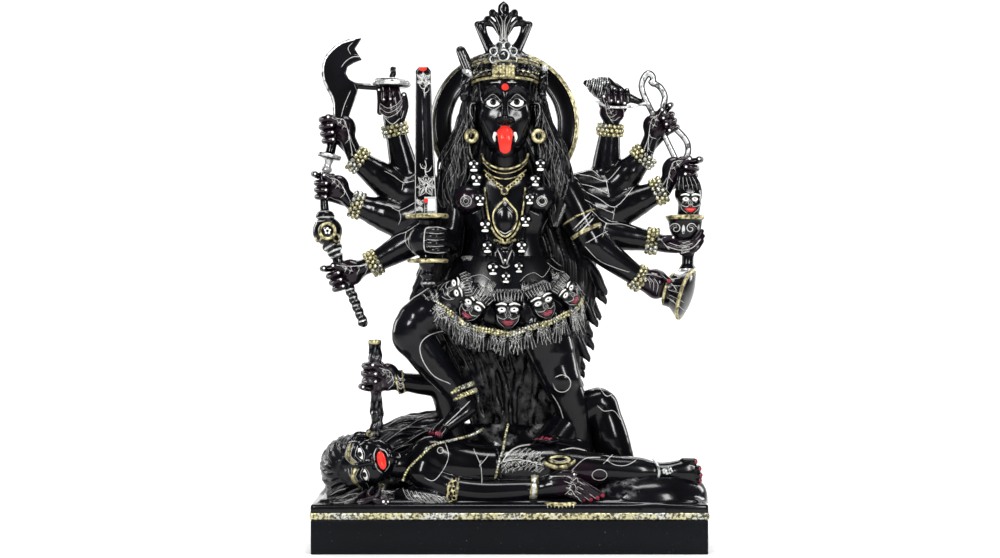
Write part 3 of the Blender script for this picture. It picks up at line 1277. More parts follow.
def addFist(clay, wrist, grip, rodWay, size, first=0):
    rodWay = unitWay(rodWay)
    out = grip - wrist
    out = square(out - np.array([0, out[1] * 0.6, 0]), rodWay)
    front = unitWay(np.cross(rodWay, out))
    front = front if front @ frontWay > 0 else -front
    thick = hands["thick"] * size
    for place in range(4):
        shift = (1.5 - place) * hands["spacing"] * size
        base = away(grip, (rodWay, shift))
        reach = 0.32 * size if place == first else 0.0
        length = 1.0 - 0.07 * abs(place - 1)
        points = [
            away(base, (front, -0.75 * size), (out, -0.35 * size)),
            away(base, (front, -0.45 * size), (out, 0.62 * size * length)),
            away(base, (front, 0.1 * size), (out, 0.92 * size * length + reach), (rodWay, reach * 0.5)),
            away(base, (front, 0.68 * size), (out, 0.62 * size * length + reach * 1.4),
                 (rodWay, reach * 0.5)),
        ]
        if place != first:
            points.append(away(base, (front, 0.8 * size), (out, 0.0)))
        addFinger(clay, points, thick)
        clay.add(rod(away(wrist, (front, -0.25 * size)), points[0], 0.42 * size, thick * 1.15), 2.0)
    palm = np.array([1.0, 0.62, 1.12]) * size
    clay.add(oval(away(grip, (out, -0.95 * size), (front, 0.05 * size)), palm, [out, front, rodWay]), 2.5)
    clay.add(rod(wrist, away(grip, (out, -0.9 * size)), 0.72 * size, 0.6 * size), 3)
    thumb = [
        away(grip, (out, -1.15 * size), (front, 0.35 * size)),
        away(grip, (out, -0.75 * size), (front, 0.85 * size), (rodWay, 0.35 * size)),
        away(grip, (out, -0.3 * size), (front, 0.9 * size), (rodWay, 0.75 * size)),
        away(grip, (out, 0.22 * size), (front, 0.8 * size), (rodWay, 1.0 * size)),
    ]
    addFinger(clay, thumb, thick * 1.08)
    clay.paint("tint", ball(grip, 1.55 * size))
    # Painted leaf: a stem with short ribs
    stem = [away(wrist, (out, 0.2 * size), (front, 0.6 * size)),
            away(grip, (out, -1.15 * size), (front, 0.7 * size), (rodWay, 0.45 * size)),
            away(grip, (out, -0.4 * size), (front, 0.8 * size), (rodWay, 0.75 * size))]
    stem = curve(stem, 5)
    clay.stroke(stem, 0.36, 9)
    for number, foot in enumerate(stem[1:-2:2]):
        long = (0.65 - 0.07 * number) * size
        clay.stroke([foot, away(foot, (rodWay, -0.55 * long), (out, 0.1 * long)),
                     away(foot, (rodWay, -long), (out, 0.6 * long))], 0.26, 9)


def addSwordFist(clay):  # closed like a barrel round the hilt, its fingers one below another
    fist = hands["swordFist"]
    middle = at(*fist["middle"])
    clay.add(rod(at(444, 241, -24), at(432, 240, -38), 12, 13), 3)
    clay.add(oval(middle, fist["radii"]), 2)
    for row, column in fist["fingers"]:
        lean = (row - 240) * 0.35
        finger = limb((column, row, -59.5 + abs(lean) * 0.5, 3.2),
                      (column + 9, row + 0.6 + lean * 0.2, -60.5, 3.3),
                      (column + 16, row + 0.2 + lean * 0.3, -55.5, 3.2), (column + 19.5, row, -47, 3.0))
        clay.add(finger, 0.7)
        clay.line((column + 2, row + 3, -62), (column + 10, row + 3.6, -62), (column + 17, row + 3, -58),
                  half=0.42, reach=12)
    for half, reach, places in hands["swordFistLines"]:
        clay.line(*places, half=half, reach=reach)


def makeHands(name):
    clay = Clay(hands["pitch"])
    for hand in hands[name]:
        addFist(clay, at(*hand["wrist"]), at(*hand["grip"]), np.array(hand["rod"], float), hand["size"],
                hand.get("longest", 0))
    if name == "handsLeft":
        addSwordFist(clay)
        # The hand that balances the disc: fingers folded up behind it
        clay.add(limb(*hands["discPalm"]), 2)
        for place, (column, top) in enumerate([(384, 99.5), (390.5, 99)]):
            addFinger(clay, [at(column - 1, 88, 19), at(column, 92, 14.5), at(column, top, 13)], 3.4)
        addFinger(clay, [at(402, 118, 20), at(405.5, 106, 18), at(404, 95, 16)], 3.7)
        addFinger(clay, [at(380, 112, 20), at(380, 100, 18), at(379, 90, 17)], 3.3)
        clay.paint("tint", ball(at(391, 102, 20), 17))
        for shift in (0, 4.5, 9):
            clay.line((381, 104 + shift, 14), (388, 108 + shift, 12), (397, 104 + shift, 12),
                      (402, 97 + shift, 14), half=0.4)
        clay.line((385, 118, 14), (392, 124, 13), (399, 119, 14), half=0.5)
    else:  # the hand under the bowl, its fingers curled up round it
        for column, row in ((702, 231), (703, 236), (702, 241)):
            addFinger(clay, [at(682, row + 12, -1), at(695, row + 9, -3), at(column, row, 0)], 2.7, upWay)
        clay.add(limb(*hands["bowlPalm"]), 2)
        for column, row in ((608, 80.5), (614.5, 87), (620.5, 88.5), (627, 88)):
            addFinger(clay, [at(column + 1, 101, 14), at(column + 0.6, 94, 11), at(column, row + 2, 13)], 2.9)
        addFinger(clay, [at(658, 240, -2), at(665, 238, -5), at(673, 237.5, -7)], 3.4)
        # The hand behind the drum, its thumb in front
        clay.add(limb((638, 278, 0, 9.5), (648, 281, -1, 12), (656, 284, -1, 14)), 2)
        clay.add(oval(at(656, 284, -1), [12, 10, 15]), 2)
        addFinger(clay, [at(652, 273, -9), at(661, 275, -15), at(669, 281, -19)], 3.4)
        clay.paint("rose", ball(at(669, 281, -21.5), 2.2)).paint("tint", ball(at(656, 284, -4), 18))
        for place in range(0, 5, 2):
            clay.line((644 + 2.6 * place, 276.5 + 0.6 * place, -10), (649 + 2.2 * place, 281 + place, -12),
                      (650 + 1.6 * place, 287 + 1.5 * place, -11), half=0.28)
        clay.paint("tint", ball(at(682, 240, 4), 22))
        for half, reach, places in hands["rightHandLines"]:
            clay.line(*places, half=half, reach=reach)
    return fire(name, [clay], polished, hands["share"])


# What the left hands carry
weapons = {
    "pitch": 0.95,
    "share": 0.5,
    "bladeOutline": [(415.5, 71), (419, 67), (428, 67), (431, 71), (432.5, 120), (437.5, 214), (414.5, 214)],
    "bladeDepth": -46,
    "cleaverOutline": [
        (362, 38), (353, 39.5), (341, 43), (330.5, 51), (324, 60), (322, 71), (324, 82.5), (329.5, 93),
        (333, 103), (333.5, 126), (346, 126), (351, 111), (355, 100), (358, 91), (355, 82.5), (349, 79),
        (346, 73.5), (347.5, 67), (354, 63), (362, 60), (355, 49),
    ],
    "cleaverDepth": 21,
    "leaves": [
        ((424, 80.5), [(423, 72.5), (417.5, 75), (429.5, 75), (417.6, 83), (430.2, 83.5)]),
        ((426, 185),
         [(426, 174), (418.5, 178), (433.5, 178), (417.5, 187.5), (434.6, 187.5), (420, 195.5),
          (431.5, 195)]),
        ((420, 206), [(417, 199), (423, 200), (417, 211), (422.5, 211.5)]),
    ],
    "vines": [
        [(424, 82), (425.4, 86), (424, 91), (424.6, 96)], [(425.3, 85.5), (428, 84.5), (429, 82.5)],
        [(424.6, 88.5), (421.5, 88), (420, 85.5)], [(424.4, 93), (427, 92), (428.5, 90)],
        [(426, 175), (425, 170), (426.2, 166), (425.4, 161.5)], [(425.4, 172), (429, 171), (431, 168)],
        [(425.3, 168.6), (422, 168), (420.4, 165)],
    ],
    "bar": [(350, 85, 22, 3.6), (364, 86.5, 23, 3.2), (378, 87, 24, 3.6)],
    "hilt": [  # profiles: share of the way, radius
        (0, 4), (0.06, 7.5), (0.12, 5), (0.18, 8), (0.23, 5), (0.3, 8.5), (0.33, 8.5), (0.341, 19),
        (0.385, 19), (0.4, 8), (0.9, 8), (0.93, 20.5), (0.985, 20.5), (1, 14),
    ],
    "disc": [(0, 15), (0.25, 18.3), (0.5, 19.8), (0.75, 19.3), (1, 17)],
    "spike": [(0, 3.4), (0.3, 3.0), (0.9, 2.8), (1, 1.5)],
    "cleaverHandle": [
        (0, 3), (0.08, 6), (0.16, 4), (0.28, 5), (0.3, 11.8), (0.38, 11.8), (0.41, 5), (1, 4.5),
    ],
    "maceHead": [
        (0, 13), (0.1, 13), (0.2, 9), (0.25, 6), (0.3, 10), (0.36, 8.5), (0.4, 4.5), (0.6, 4), (0.9, 4),
        (1, 3),
    ],
    "maceShaft": [(0, 2), (0.04, 5.2), (0.1, 4.4), (0.5, 5), (0.8, 5.4), (0.86, 7), (0.92, 9), (1, 10)],
}


def addLeaf(clay, base, tip, depth):  # a painted leaf: its outline and a worn silver middle
    (column, row), (endColumn, endRow) = base, tip
    across, down = endColumn - column, endRow - row
    half = 0.24
    for side in (-1, 1):
        belly = (column + across * 0.58 - side * down * half, row + down * 0.58 + side * across * half, depth)
        clay.line((column + across * 0.15, row + down * 0.15, depth), belly, (endColumn, endRow, depth),
                  half=0.34, reach=9)
    clay.paint("silver",
               rod(at(column + across * 0.4, row + down * 0.4, depth),
                   at(column + across * 0.75, row + down * 0.75, depth), 1.0))


def makeWeapons():
    clay = Clay(weapons["pitch"])
    # Sword: the blade stands on a hilt with two guards
    depth = weapons["bladeDepth"]
    clay.add(card(weapons["bladeOutline"], depth, 3.6, 1.4))
    clay.line((416, 74, depth), (415.6, 140, depth), (415.5, 212, depth), half=0.45)
    clay.line((431, 74, depth), (433, 140, depth), (436.3, 212, depth), half=0.45)
    clay.cut([rod(at(423.5, 98, depth - 5), at(425, 158, depth - 5), 2.2)], 0.8)
    redTip = oval(at(423, 69, depth), [4.3, 8, 2.6])
    clay.paint("red", redTip)
    for base, tips in weapons["leaves"]:
        for tip in tips:
            addLeaf(clay, base, tip, depth - 4)
    for vine in weapons["vines"]:
        clay.line(*[(column, row, depth - 4) for column, row in vine], half=0.5, reach=9)
    block = card([(424.5, 197), (436.5, 197), (437, 213), (424, 213)], depth, 3.9, 1)
    clay.add(card([(415.5, 197), (436.5, 197), (437, 213), (415, 213)], depth, 3.9, 1), 0.3)
    clay.paint("silver", block, 0.3)
    clay.paint("white", card([(428, 199), (435, 199), (435.5, 211), (427.6, 211)], depth, 4.4, 1))
    for row in (204.5, 207, 209.5, 212):
        clay.paint("ink", ball(at(426, row, depth - 4), 1.0))
    clay.paint("red", ball(at(426, 200.5, depth - 4), 2.2))
    clay.add(turned(at(428, 288, depth), at(427, 213, depth), weapons["hilt"]))
    for share, radius in ((0.363, 19.2), (0.957, 20.5)):
        guard = hoop(at(428, 288, depth) + (at(427, 213, depth) - at(428, 288, depth)) * share, upWay,
                     radius - 1, 2.0)
        clay.trim("gold", guard, 0.5, 0.4)
    for row in (270, 278, 283):
        clay.paint("silver", hoop(at(428, row, depth), upWay, 7.6, 1.3))
    # Disc on its spike, with the small bar that steadies it
    disc = turned(at(392, 87.5, 24), at(392.5, 79.5, 24), weapons["disc"])
    clay.add(disc)
    clay.paint("silver", hoop(at(392, 83.3, 24), upWay, 19.2, 2.8))
    clay.paint("white", oval(at(392, 82.6, 5), [9.5, 3, 1.4]))
    clay.add(turned(at(392.5, 80, 25), at(393.5, 66.5, 25), weapons["spike"], (3, 0.2, 0.9)), 0.5)
    clay.paint("silver", hoop(at(393, 78.5, 25), upWay, 3, 1.2))
    clay.add(limb(*weapons["bar"]), 1)
    # Cleaver
    depth = weapons["cleaverDepth"]
    clay.add(card(weapons["cleaverOutline"], depth, 3.6, 1.4), 0.8)
    edge = limb(*[(column + 1, row, depth - 1.5, 1.9) for column, row in weapons["cleaverOutline"][1:10]],
                count=2)
    clay.trim("silver", edge, 0.4, 0.4)
    clay.line((346.5, 124, depth - 4), (351.5, 109, depth - 4), (357.5, 91, depth - 4), half=0.6)
    clay.line((361, 61, depth - 4), (349, 66, depth - 4), (347, 73, depth - 4), (350, 79, depth - 4),
              half=0.6)
    clay.line((362, 40, depth - 4), (356, 49, depth - 4), (362, 58, depth - 4), half=0.5)
    clay.line((340, 122, depth - 4), (344, 106, depth - 4), (350, 92, depth - 4), half=0.35)
    clay.line((342, 66, depth - 4), (346, 61, depth - 4), (353, 56.8, depth - 4), (359, 56.8, depth - 4),
              half=0.4)
    clay.line((352, 43, depth - 4), (348, 48, depth - 4), (350, 53, depth - 4), half=0.35)
    clay.line((364, 84.5, depth - 2), (374, 85, depth - 2), half=0.4)
    clay.paint("red", ball(at(331, 117, depth - 4), 2.4))
    clay.add(turned(at(325.5, 174, 20), at(337, 122, 21), weapons["cleaverHandle"]), 0.5)
    guard = hoop(at(329, 155.5, 20), at(337, 122, 21) - at(325.5, 174, 20), 11.2, 1.6)
    clay.trim("silver", guard, 0.4, 0.4)
    clay.paint("silver", rod(at(325.5, 174, 20), at(328, 162, 20), 6.5))
    # Mace, in two hands
    clay.add(turned(at(326.5, 236, 14), at(322, 172, 18), weapons["maceHead"]), 1)
    head = oval(at(327.5, 231, 14), [15, 14, 14.5])
    clay.add(head, 1)
    clay.trim("gold", hoop(at(327.5, 231, 1.5), frontWay, 7.6, 1.6), 0.5, 0.1)
    for place in range(5):
        turn = math.radians(72 * place)
        clay.paint("white", ball(at(327.5 + 2.4 * math.sin(turn), 230.8 - 2.4 * math.cos(turn), 0.5), 1.15))
    for row, radius in ((222, 10), (217, 8.2), (212, 6)):
        clay.trim("silver", hoop(at(326 - (222 - row) * 0.12, row, 15), upWay, radius, 1.2), 0.4, 0.1)
    for side in (-1, 1):
        clay.trim("gold", hoop(at(327.5 + side * 9, 238, 4), (side, -1, 0.3), 4, 1.0), 0.5, 0.2)
    start, end = at(365, 327, 10), at(330, 240, 14)
    clay.add(turned(start, end, weapons["maceShaft"], (3, 0.13, 0.75)), 0.8)
    for row, column, radius in ((246, 332.5, 8), (251, 334.5, 7), (256, 336.5, 6)):
        clay.trim("silver", hoop(at(column, row, 13), end - start, radius, 1.2), 0.4, 0.1)
    for share in np.arange(0.05, 0.42, 0.045):
        middle = start + (end - start) * share
        twist = away(middle, (frontWay, 4.2))
        clay.paint("silver",
                   rod(away(twist, (rightWay, -4.5), (upWay, 0.6)),
                       away(twist, (rightWay, 4.5), (upWay, 3.6)), 0.75))
    return fire("weapons", [clay], polished, weapons["share"])


# What the right hands carry
offerings = {
    "pitch": 0.95,
    "share": 0.5,
    "conchEnds": [(583.5, 82, 24), (646, 104, 22)],
    "conchLip": [(596, 101, 13, 1.3), (606, 106, 12, 1.5), (618, 107.5, 13, 1.5), (632, 106.5, 15, 1.4),
                 (645, 103.5, 19, 1.3)],
    "head": {"middle": (689.5, 199.5, 6), "scale": (19, 17, 16)},
    "bowlEnds": [(685.5, 244, 10), (685, 215, 10)],
    "footEnds": [(687.5, 272, 8), (688, 246, 10)],
    "drumEnds": [(667.5, 289, 2), (686.5, 295, -4)],
    "bow": [
        (676, 160, 3.2), (664, 135, 3.1), (650, 108, 3.1), (642, 90, 3.2), (643, 80, 3.5), (648, 73.5, 3.6),
        (653, 77, 3.3), (653, 84, 2.9),
    ],
    "limb": [
        (651, 82, 3.0), (660, 87, 3.2), (665, 97, 3.3), (663, 109, 3.2), (668, 122, 3.1), (679, 132, 3.2),
        (687, 142, 3.3), (688, 153, 3.2), (683, 162, 3.0),
    ],
    "bowDepth": 21,
    "conch": [  # profiles: share of the way, radius
        (0, 2), (0.05, 3.6), (0.08, 3.2), (0.13, 7.5), (0.16, 7), (0.23, 11), (0.27, 10.5), (0.34, 13),
        (0.5, 10), (0.66, 6), (0.85, 3.4), (1, 2.8),
    ],
    "bowl": [(0, 8), (0.25, 13), (0.5, 16), (0.8, 17.2), (0.84, 18.6), (0.97, 18.8), (1, 17)],
    "bowlFoot": [(0, 9.5), (0.12, 9), (0.3, 6), (0.6, 6), (1, 9)],
    "drum": [
        (0, 15), (0.06, 16.8), (0.16, 17), (0.4, 17.5), (0.8, 24), (0.88, 25.6), (0.96, 25.6), (1, 24),
    ],
}


def makeOfferings():
    clay = Clay(offerings["pitch"])
    # Conch
    start, end = (at(*place) for place in offerings["conchEnds"])
    clay.add(turned(start, end, offerings["conch"], (5, 0.05, 0.35)))
    for place in range(11):
        share = 0.05 + 0.032 * place
        radius = np.interp(share, [0, 0.05, 0.13, 0.23, 0.34, 0.5], [2, 3.6, 7.5, 11, 12.8, 10])
        ridge = hoop(start + (end - start) * share, end - start + np.array([0, 6, 10]), radius, 0.6)
        clay.trim("silver", ridge, 0.6, -0.02)
    clay.trim("silver", limb(*offerings["conchLip"]), 1, 0.05)
    clay.line((600, 98, 12), (612, 101, 12), (628, 102, 14), half=0.4, reach=12)
    # Bow and its string
    depth = offerings["bowDepth"]
    for key in ("bow", "limb"):
        line = limb(*[(column, row, depth, radius) for column, row, radius in offerings[key]])
        core = limb(*[(column, row, depth - 1.6, radius - 1.1) for column, row, radius in offerings[key]])
        clay.add(line, 1).paint("silver", core)
    # The severed head, held by its hair
    pose = Pose(at(*offerings["head"]["middle"]), offerings["head"]["scale"])
    carveFace(clay, pose, False)
    addBoldFace(clay, pose, "red", 0.85)
    clay.add(oval(at(688.5, 194, 12), [14, 13, 13]), 0.6).add(rod(at(689, 206, 9), at(688, 218, 9), 11), 3)
    for place in range(11):
        shift = (place - 5) * 2.3
        lock = limb((689 + shift, 190 - 0.5 * (5 - abs(place - 5)), -3 + abs(place - 5) * 1.9, 1.5),
                    (688 + shift * 0.95, 184, 0, 1.6), (686.5 + shift * 0.7, 176, 4, 1.6),
                    (684 + shift * 0.4, 166, 8, 1.5))
        clay.add(lock, 0.3)
        if place % 2:
            clay.line((689 + shift, 189, -8), (688 + shift * 0.95, 184, -6), (686.5 + shift * 0.7, 177, -2),
                      half=0.16, reach=12)
    # The bowl that catches under it, on its foot
    low, high = (at(*place) for place in offerings["bowlEnds"])
    clay.add(turned(low, high, offerings["bowl"]), 0.4)
    clay.trim("gold", hoop(away(high, (upWay, -2.2)), upWay, 18, 1.9), 0.3, 0.5)
    for column, side in ((676, 1), (691, -1)):
        scroll = [(t - 1.2, 5.8 - 0.66 * t) for t in np.arange(0, 7.6, 0.6)]
        clay.line(*[(column + side * r * math.sin(t), 228.5 - r * math.cos(t), -6) for t, r in scroll],
                  count=2, half=0.6, reach=14)
    for column, row, high in ((683.5, 229.5, 4.6), (668.6, 226, 3.4), (699, 227.5, 3.8)):
        clay.paint("silver", oval(at(column, row, -6), [1.5, 9, high]))
    low, high = (at(*place) for place in offerings["footEnds"])
    clay.add(turned(low, high, offerings["bowlFoot"]), 0.6)
    clay.paint("silver", hoop(at(687.5, 270, 8), upWay, 9, 1.6))
    # Drum, gripped at its waist
    low, high = (at(*place) for place in offerings["drumEnds"])
    clay.add(turned(low, high, offerings["drum"]), 0.6)
    along = unitWay(high - low)
    side = square(rightWay, along)
    clay.add(oval(away(high, (along, -1)), [23.5, 23.5, 6], [side, np.cross(along, side), along]), 0.4)
    for place, radius in ((away(high, (along, -0.8)), 25), (away(low, (along, 1.2)), 16)):
        clay.trim("gold", hoop(place, along, radius, 1.5), 0.4, 0.5)
    for shift in range(-2, 3):
        clay.line((669 + shift * 0.5, 290 + shift * 5, -14), (682 + shift * 1.0, 294 + shift * 8, -20),
                  half=0.3)
    clay.line((667, 282, -14), (672, 284, -16), (676, 290, -18), half=0.45)
    clay.line((668, 298, -14), (673, 301, -16), (677, 307, -18), half=0.4)
    return fire("offerings", [clay], polished, offerings["share"])


def addBoldFace(clay, pose, lips="rose", gauge=1.0):  # the severed heads are painted plainly, with wide eyes
    eye = (0.28 * gauge, 0.19 * gauge)
    addEyes(clay, pose, 0.065, eye, 0.1)
    for side in (-1, 1):
        ringed = [pose.point(side * eye[0] + eye[1] * math.sin(t), -0.6, 0.13 * math.cos(t))
                  for t in np.linspace(0, 2 * np.pi, 11)]
        clay.stroke(np.array(ringed), 0.3, 8)
        brow = pose.rods([(0.09, -0.64, 0.25, 0.035), (0.29, -0.62, 0.31, 0.048), (0.54, -0.44, 0.24, 0.03)],
                         side)
        clay.trim("white", brow, 0.5, 0.1)
        moustache = pose.points([(0.04, -0.8, -0.36), (0.2, -0.72, -0.48), (0.42, -0.56, -0.4)], side)
        clay.stroke(curve(moustache, 4), 0.42, 7)
        cheek = pose.points([(0.5, -0.45, -0.3), (0.44, -0.5, -0.6), (0.2, -0.62, -0.86)], side)
        clay.stroke(curve(cheek, 4), 0.3, 7)
        clay.stroke(pose.points([(0.06, -0.72, -0.1), (0.12, -0.78, -0.3)], side), 0.35, 7)
    mouth = pose.rods([(-0.25, -0.52, -0.60, 0.035), (0, -0.68, -0.60, 0.055), (0.25, -0.52, -0.60, 0.035)])
    lower = pose.rods([(-0.18, -0.52, -0.71, 0.035), (0, -0.66, -0.73, 0.055), (0.18, -0.52, -0.71, 0.035)])
    clay.add(mouth, 0.3).add(lower, 0.3).paint(lips, mouth + lower, 0.15)
    clay.stroke(pose.points([(-0.15, -0.7, -0.66), (0.15, -0.7, -0.66)]), 0.3, 7)
    for shift in (-0.07, 0.0, 0.07):
        clay.stroke(pose.points([(-0.16, -0.6, 0.44 + shift), (0.16, -0.6, 0.44 + shift)]), 0.25, 7)


# Her hair: a mantle down her back that widens to the hips, and two falls over the shoulders
mantle = {
    "pitch": 1.6,
    "share": 0.54,
    "locks": 58,
    "lockThick": 3.7,
    "wave": 2.4,
    "rows": [  # column, row, depth, half across, half deep
        (507, 70, 10, 28, 16), (507, 100, 13, 33, 17), (507, 130, 16, 38, 17), (507, 152, 18, 48, 18),
        (507, 178, 21, 60, 18), (507, 225, 24, 71, 18), (508, 262, 27, 83, 20), (506, 300, 27, 84, 20),
        (509, 336, 27, 73, 19), (516, 370, 27, 61, 18), (518, 400, 28, 51, 18), (521, 440, 28, 42, 18),
    ],
    "curlsRight": [
        (594, 268), (598.7, 280), (605, 291), (604.5, 300), (599, 316), (596, 323), (590.6, 333.6),
        (592, 346), (588, 357.7), (583, 366), (582.6, 373.8), (581, 384.5), (575, 397),
    ],
    "curlsLeft": [(424, 262), (419, 274), (415, 288), (412, 298), (413, 309), (418, 320), (423, 331),
                  (430, 345), (436, 360)],
}
tresses = {
    "pitch": 1.0,
    "share": 0.46,
    "locks": 24,
    "thick": 1.8,
    "rows": [(31, 80, 4, 6, 12), (35, 105, 3, 7, 12), (41, 130, -2, 10, 11), (48, 152, -5, 15, 11),
             (50, 172, -9, 18, 11), (55, 196, -12, 13, 9), (52, 214, -14, 7, 6), (50, 226, -14, 3, 4)],
}


def makeMantle():
    clay = Clay(mantle["pitch"])
    clay.add(stack("z", *mantle["rows"]))
    rows = np.array(mantle["rows"], float)
    stations = curve(rows, 2)
    for lock in range(mantle["locks"]):
        angle = 2 * math.pi * (lock + 0.5) / mantle["locks"]
        phase, lift = chance.uniform(0, 6.3), chance.uniform(-0.5, 1.3)
        thick = mantle["lockThick"] * chance.uniform(0.85, 1.15)
        last = len(stations) - int(chance.integers(0, 5))
        places, radii = [], []
        for number, (column, row, depth, wide, deep) in enumerate(stations[1:last]):
            wave = math.sin(row / 13 + phase) * mantle["wave"]
            turn = angle + 0.035 * math.sin(row / 24 + phase)
            out = 1 + (lift + 0.35 * wave) / 60
            place = at(column + wide * out * math.sin(turn) + wave * abs(math.cos(turn)), row,
                       depth - deep * out * math.cos(turn))
            places.append(place)
            radii.append(thick * min(1, (last - number) / 4 + 0.25))
        clay.add(strand(places, radii, 2), 0.7)
        if math.cos(angle) > 0 and lock % 2:
            for start in range(int(chance.integers(0, 4)), len(places) - 3, 6):
                seam = [away(place, (frontWay, 3)) for place in places[start:start + 3]]
                clay.stroke(np.array(seam), 0.25, 9)
    for side, key in ((1, "curlsRight"), (-1, "curlsLeft")):
        for number, (column, row) in enumerate(mantle[key]):
            depth = 27 + 9 * math.sin(number * 2.1)
            start = (column - side * 20, row - 34, depth, 4.2)
            clay.add(limb(start, (column - side * 9, row - 17, depth, 4.8),
                          (column - side * 4, row - 5, depth, 4.6), (column, row, depth - 1, 3.0),
                          (column + side * 1.0, row + 3.5, depth - 1, 1.6)), 0.8)
    # Rock between the legs
    clay.relief(lambda x, y, z: 0.9 * roughness(x, y, z), at(462, 430, -30), at(574, 352, 20), 0.2)
    return fire("hairMantle", [clay], carvedHair, mantle["share"])


def makeTresses():
    clay = Clay(tresses["pitch"])
    for side in (-1, 1):
        rows = [(505 + side * out, *rest) for out, *rest in tresses["rows"]]
        clay.add(stack("z", *[(column, row, depth, wide * 0.8, deep * 0.8)
                              for column, row, depth, wide, deep in rows]), 1)
        for lock in range(tresses["locks"]):
            angle = 2 * math.pi * lock / tresses["locks"]
            share = 0.95 if lock % 3 else 0.78
            phase = chance.uniform(0, 6.3)
            places, radii = [], []
            for number, (column, row, depth, wide, deep) in enumerate(curve(rows, 2)):
                turn = angle + row / 60 * side
                wave = 1.3 * math.sin(row / 6 + phase)
                places.append(at(column + share * wide * math.cos(turn) + wave, row,
                                 depth - share * deep * math.sin(turn)))
                radii.append(tresses["thick"] * (0.8 + 0.2 * math.sin(number + phase)))
            radii[-1] = 1.0
            clay.add(strand(places, radii, 2), 0.4)
            if math.sin(angle) > -0.2 and lock % 2:
                clay.stroke(np.array([away(place, (frontWay, 2)) for place in places]), 0.25, 7)
    clay.add(oval(at(505, 96, 6), [30, 27, 34]), 1)  # the hair under the crown
    for place in range(30):
        turn = 2 * math.pi * place / 30
        if abs(math.sin(turn)) > 0.62 or math.cos(turn) < 0:
            points = [at(505 + out * math.sin(turn), row, 6 + out * 0.9 * math.cos(turn)) for out, row in
                      [(26, 72), (29.5, 84), (31, 98), (29, 112), (26, 124)]]
            clay.add(strand(points, [2.2] * 5, 2), 0.6)
    return fire("hairFalls", [clay], carvedHair, tresses["share"])


# The girdle: severed heads over a skirt of hanging hands
girdle = {
    "pitch": 0.85,
    "share": 0.38,
    "rows": [(506, 256, 0, 48, 24), (506, 270, 0, 58, 29), (506, 288, 0, 66, 35), (507, 305, 0, 68, 39),
             (507, 320, 0, 66, 39), (508, 332, 0, 58, 36)],
    "apron": [((452, 298, -31), (20, 16, 17)), ((468, 312, -32), (18, 15, 17)),
              ((440, 303, -30), (14, 15, 10))],
    "heads": [  # column, row, depth, size, tilt, turn to the side
        (458.5, 289.5, -38, (18.5, 14, 18), 1.30, -0.35), (474.5, 305, -41, (20, 14.5, 18.5), 0.61, -0.15),
        (508, 309.5, -40, (21.5, 15, 19.5), 0.0, 0.0), (541, 301.5, -35, (20, 14.5, 18.5), -0.39, 0.25),
        (564, 292, -24, (18, 14, 17.5), -0.85, 0.5),
    ],
    "hem": [
        (430, 296, -34), (438, 303, -45), (447, 309, -50), (457, 317, -51), (467, 325, -50), (479, 329, -48),
        (494, 331.5, -46), (509, 334, -45), (521, 330.5, -44), (536, 326, -41), (552, 321, -36),
        (563, 315, -30), (572.5, 311, -23), (579, 303, -12), (581, 296, 4),
    ],
    "hand": 22,
    "hands": 22,
    "upperHands": [(470, 280, -30, -0.3), (489, 285, -35, 0.1), (524, 284, -35, 0.1), (553, 272, -24, 0.4),
                   (574, 284, -6, 0.5)],
    "net": [  # column, row, depth, half across, half high
        (487, 289, -40, 8, 7), (467, 250, -22, 5, 10), (555, 246, -20, 5, 10),
    ],
    "threads": [
        [(520.5, 281, -38), (527, 275, -36), (535, 272.7, -34), (543, 277, -32), (550, 268, -28)],
        [(466, 281, -34), (473, 276, -34), (482, 275, -34), (490, 280, -36)],
        [(548, 263, -28), (556, 269, -26), (565, 272, -22)],
        [(552, 258, -24), (560, 265, -22), (569, 268, -18)],
    ],
    "lines": [  # half width, reach, places
        (0.33, 14, [(428, 319, -54), (438, 308, -54), (448, 306, -53)]),
        (0.33, 14, [(432, 324, -54), (442, 313, -54), (452, 312, -53)]),
        (0.33, 14, [(437, 312, -54), (441, 318, -54), (447, 317, -53), (446, 323, -53)]),
    ],
}


def addHangingHand(clay, top, down, length, front, fingers=4, half=0.22):
    down, front = unitWay(down), unitWay(front)
    across = unitWay(np.cross(down, front))
    palm = away(top, (down, 0.40 * length), (front, 0.5))
    clay.add(rod(top, palm, 3.4, 4.8, (front, 1.5)), 0.6)
    for place in range(fingers):
        shift = (place - (fingers - 1) / 2) * 2.7
        long = length * (1.0 - 0.07 * abs(place - 1.2)) * chance.uniform(0.9, 1.08)
        start = away(palm, (across, shift * 0.9))
        tip = away(top, (down, long), (across, shift * chance.uniform(1.2, 1.7)),
                   (front, 0.8 * math.sin(place * 2.0)))
        clay.add(rod(start, tip, 1.55, 1.25), 0.35)
        if half:
            clay.stroke([away(start, (front, 1.5), (across, 0.7)), away(tip, (front, 1.2), (across, 0.5))],
                        half, 4)
    if half:
        for share in (0.12, 0.24, 0.36):
            middle = away(top, (down, share * length), (front, 2))
            clay.stroke([away(middle, (across, -3.2), (down, -1)), away(middle, (across, 0), (down, 1)),
                         away(middle, (across, 3.2), (down, -1))], 0.25, 5)
    thumb = away(palm, (across, 5.4), (down, 0.12 * length))
    clay.add(rod(away(top, (across, 2.5), (down, 0.15 * length)), thumb, 1.5, 1.2), 0.4)


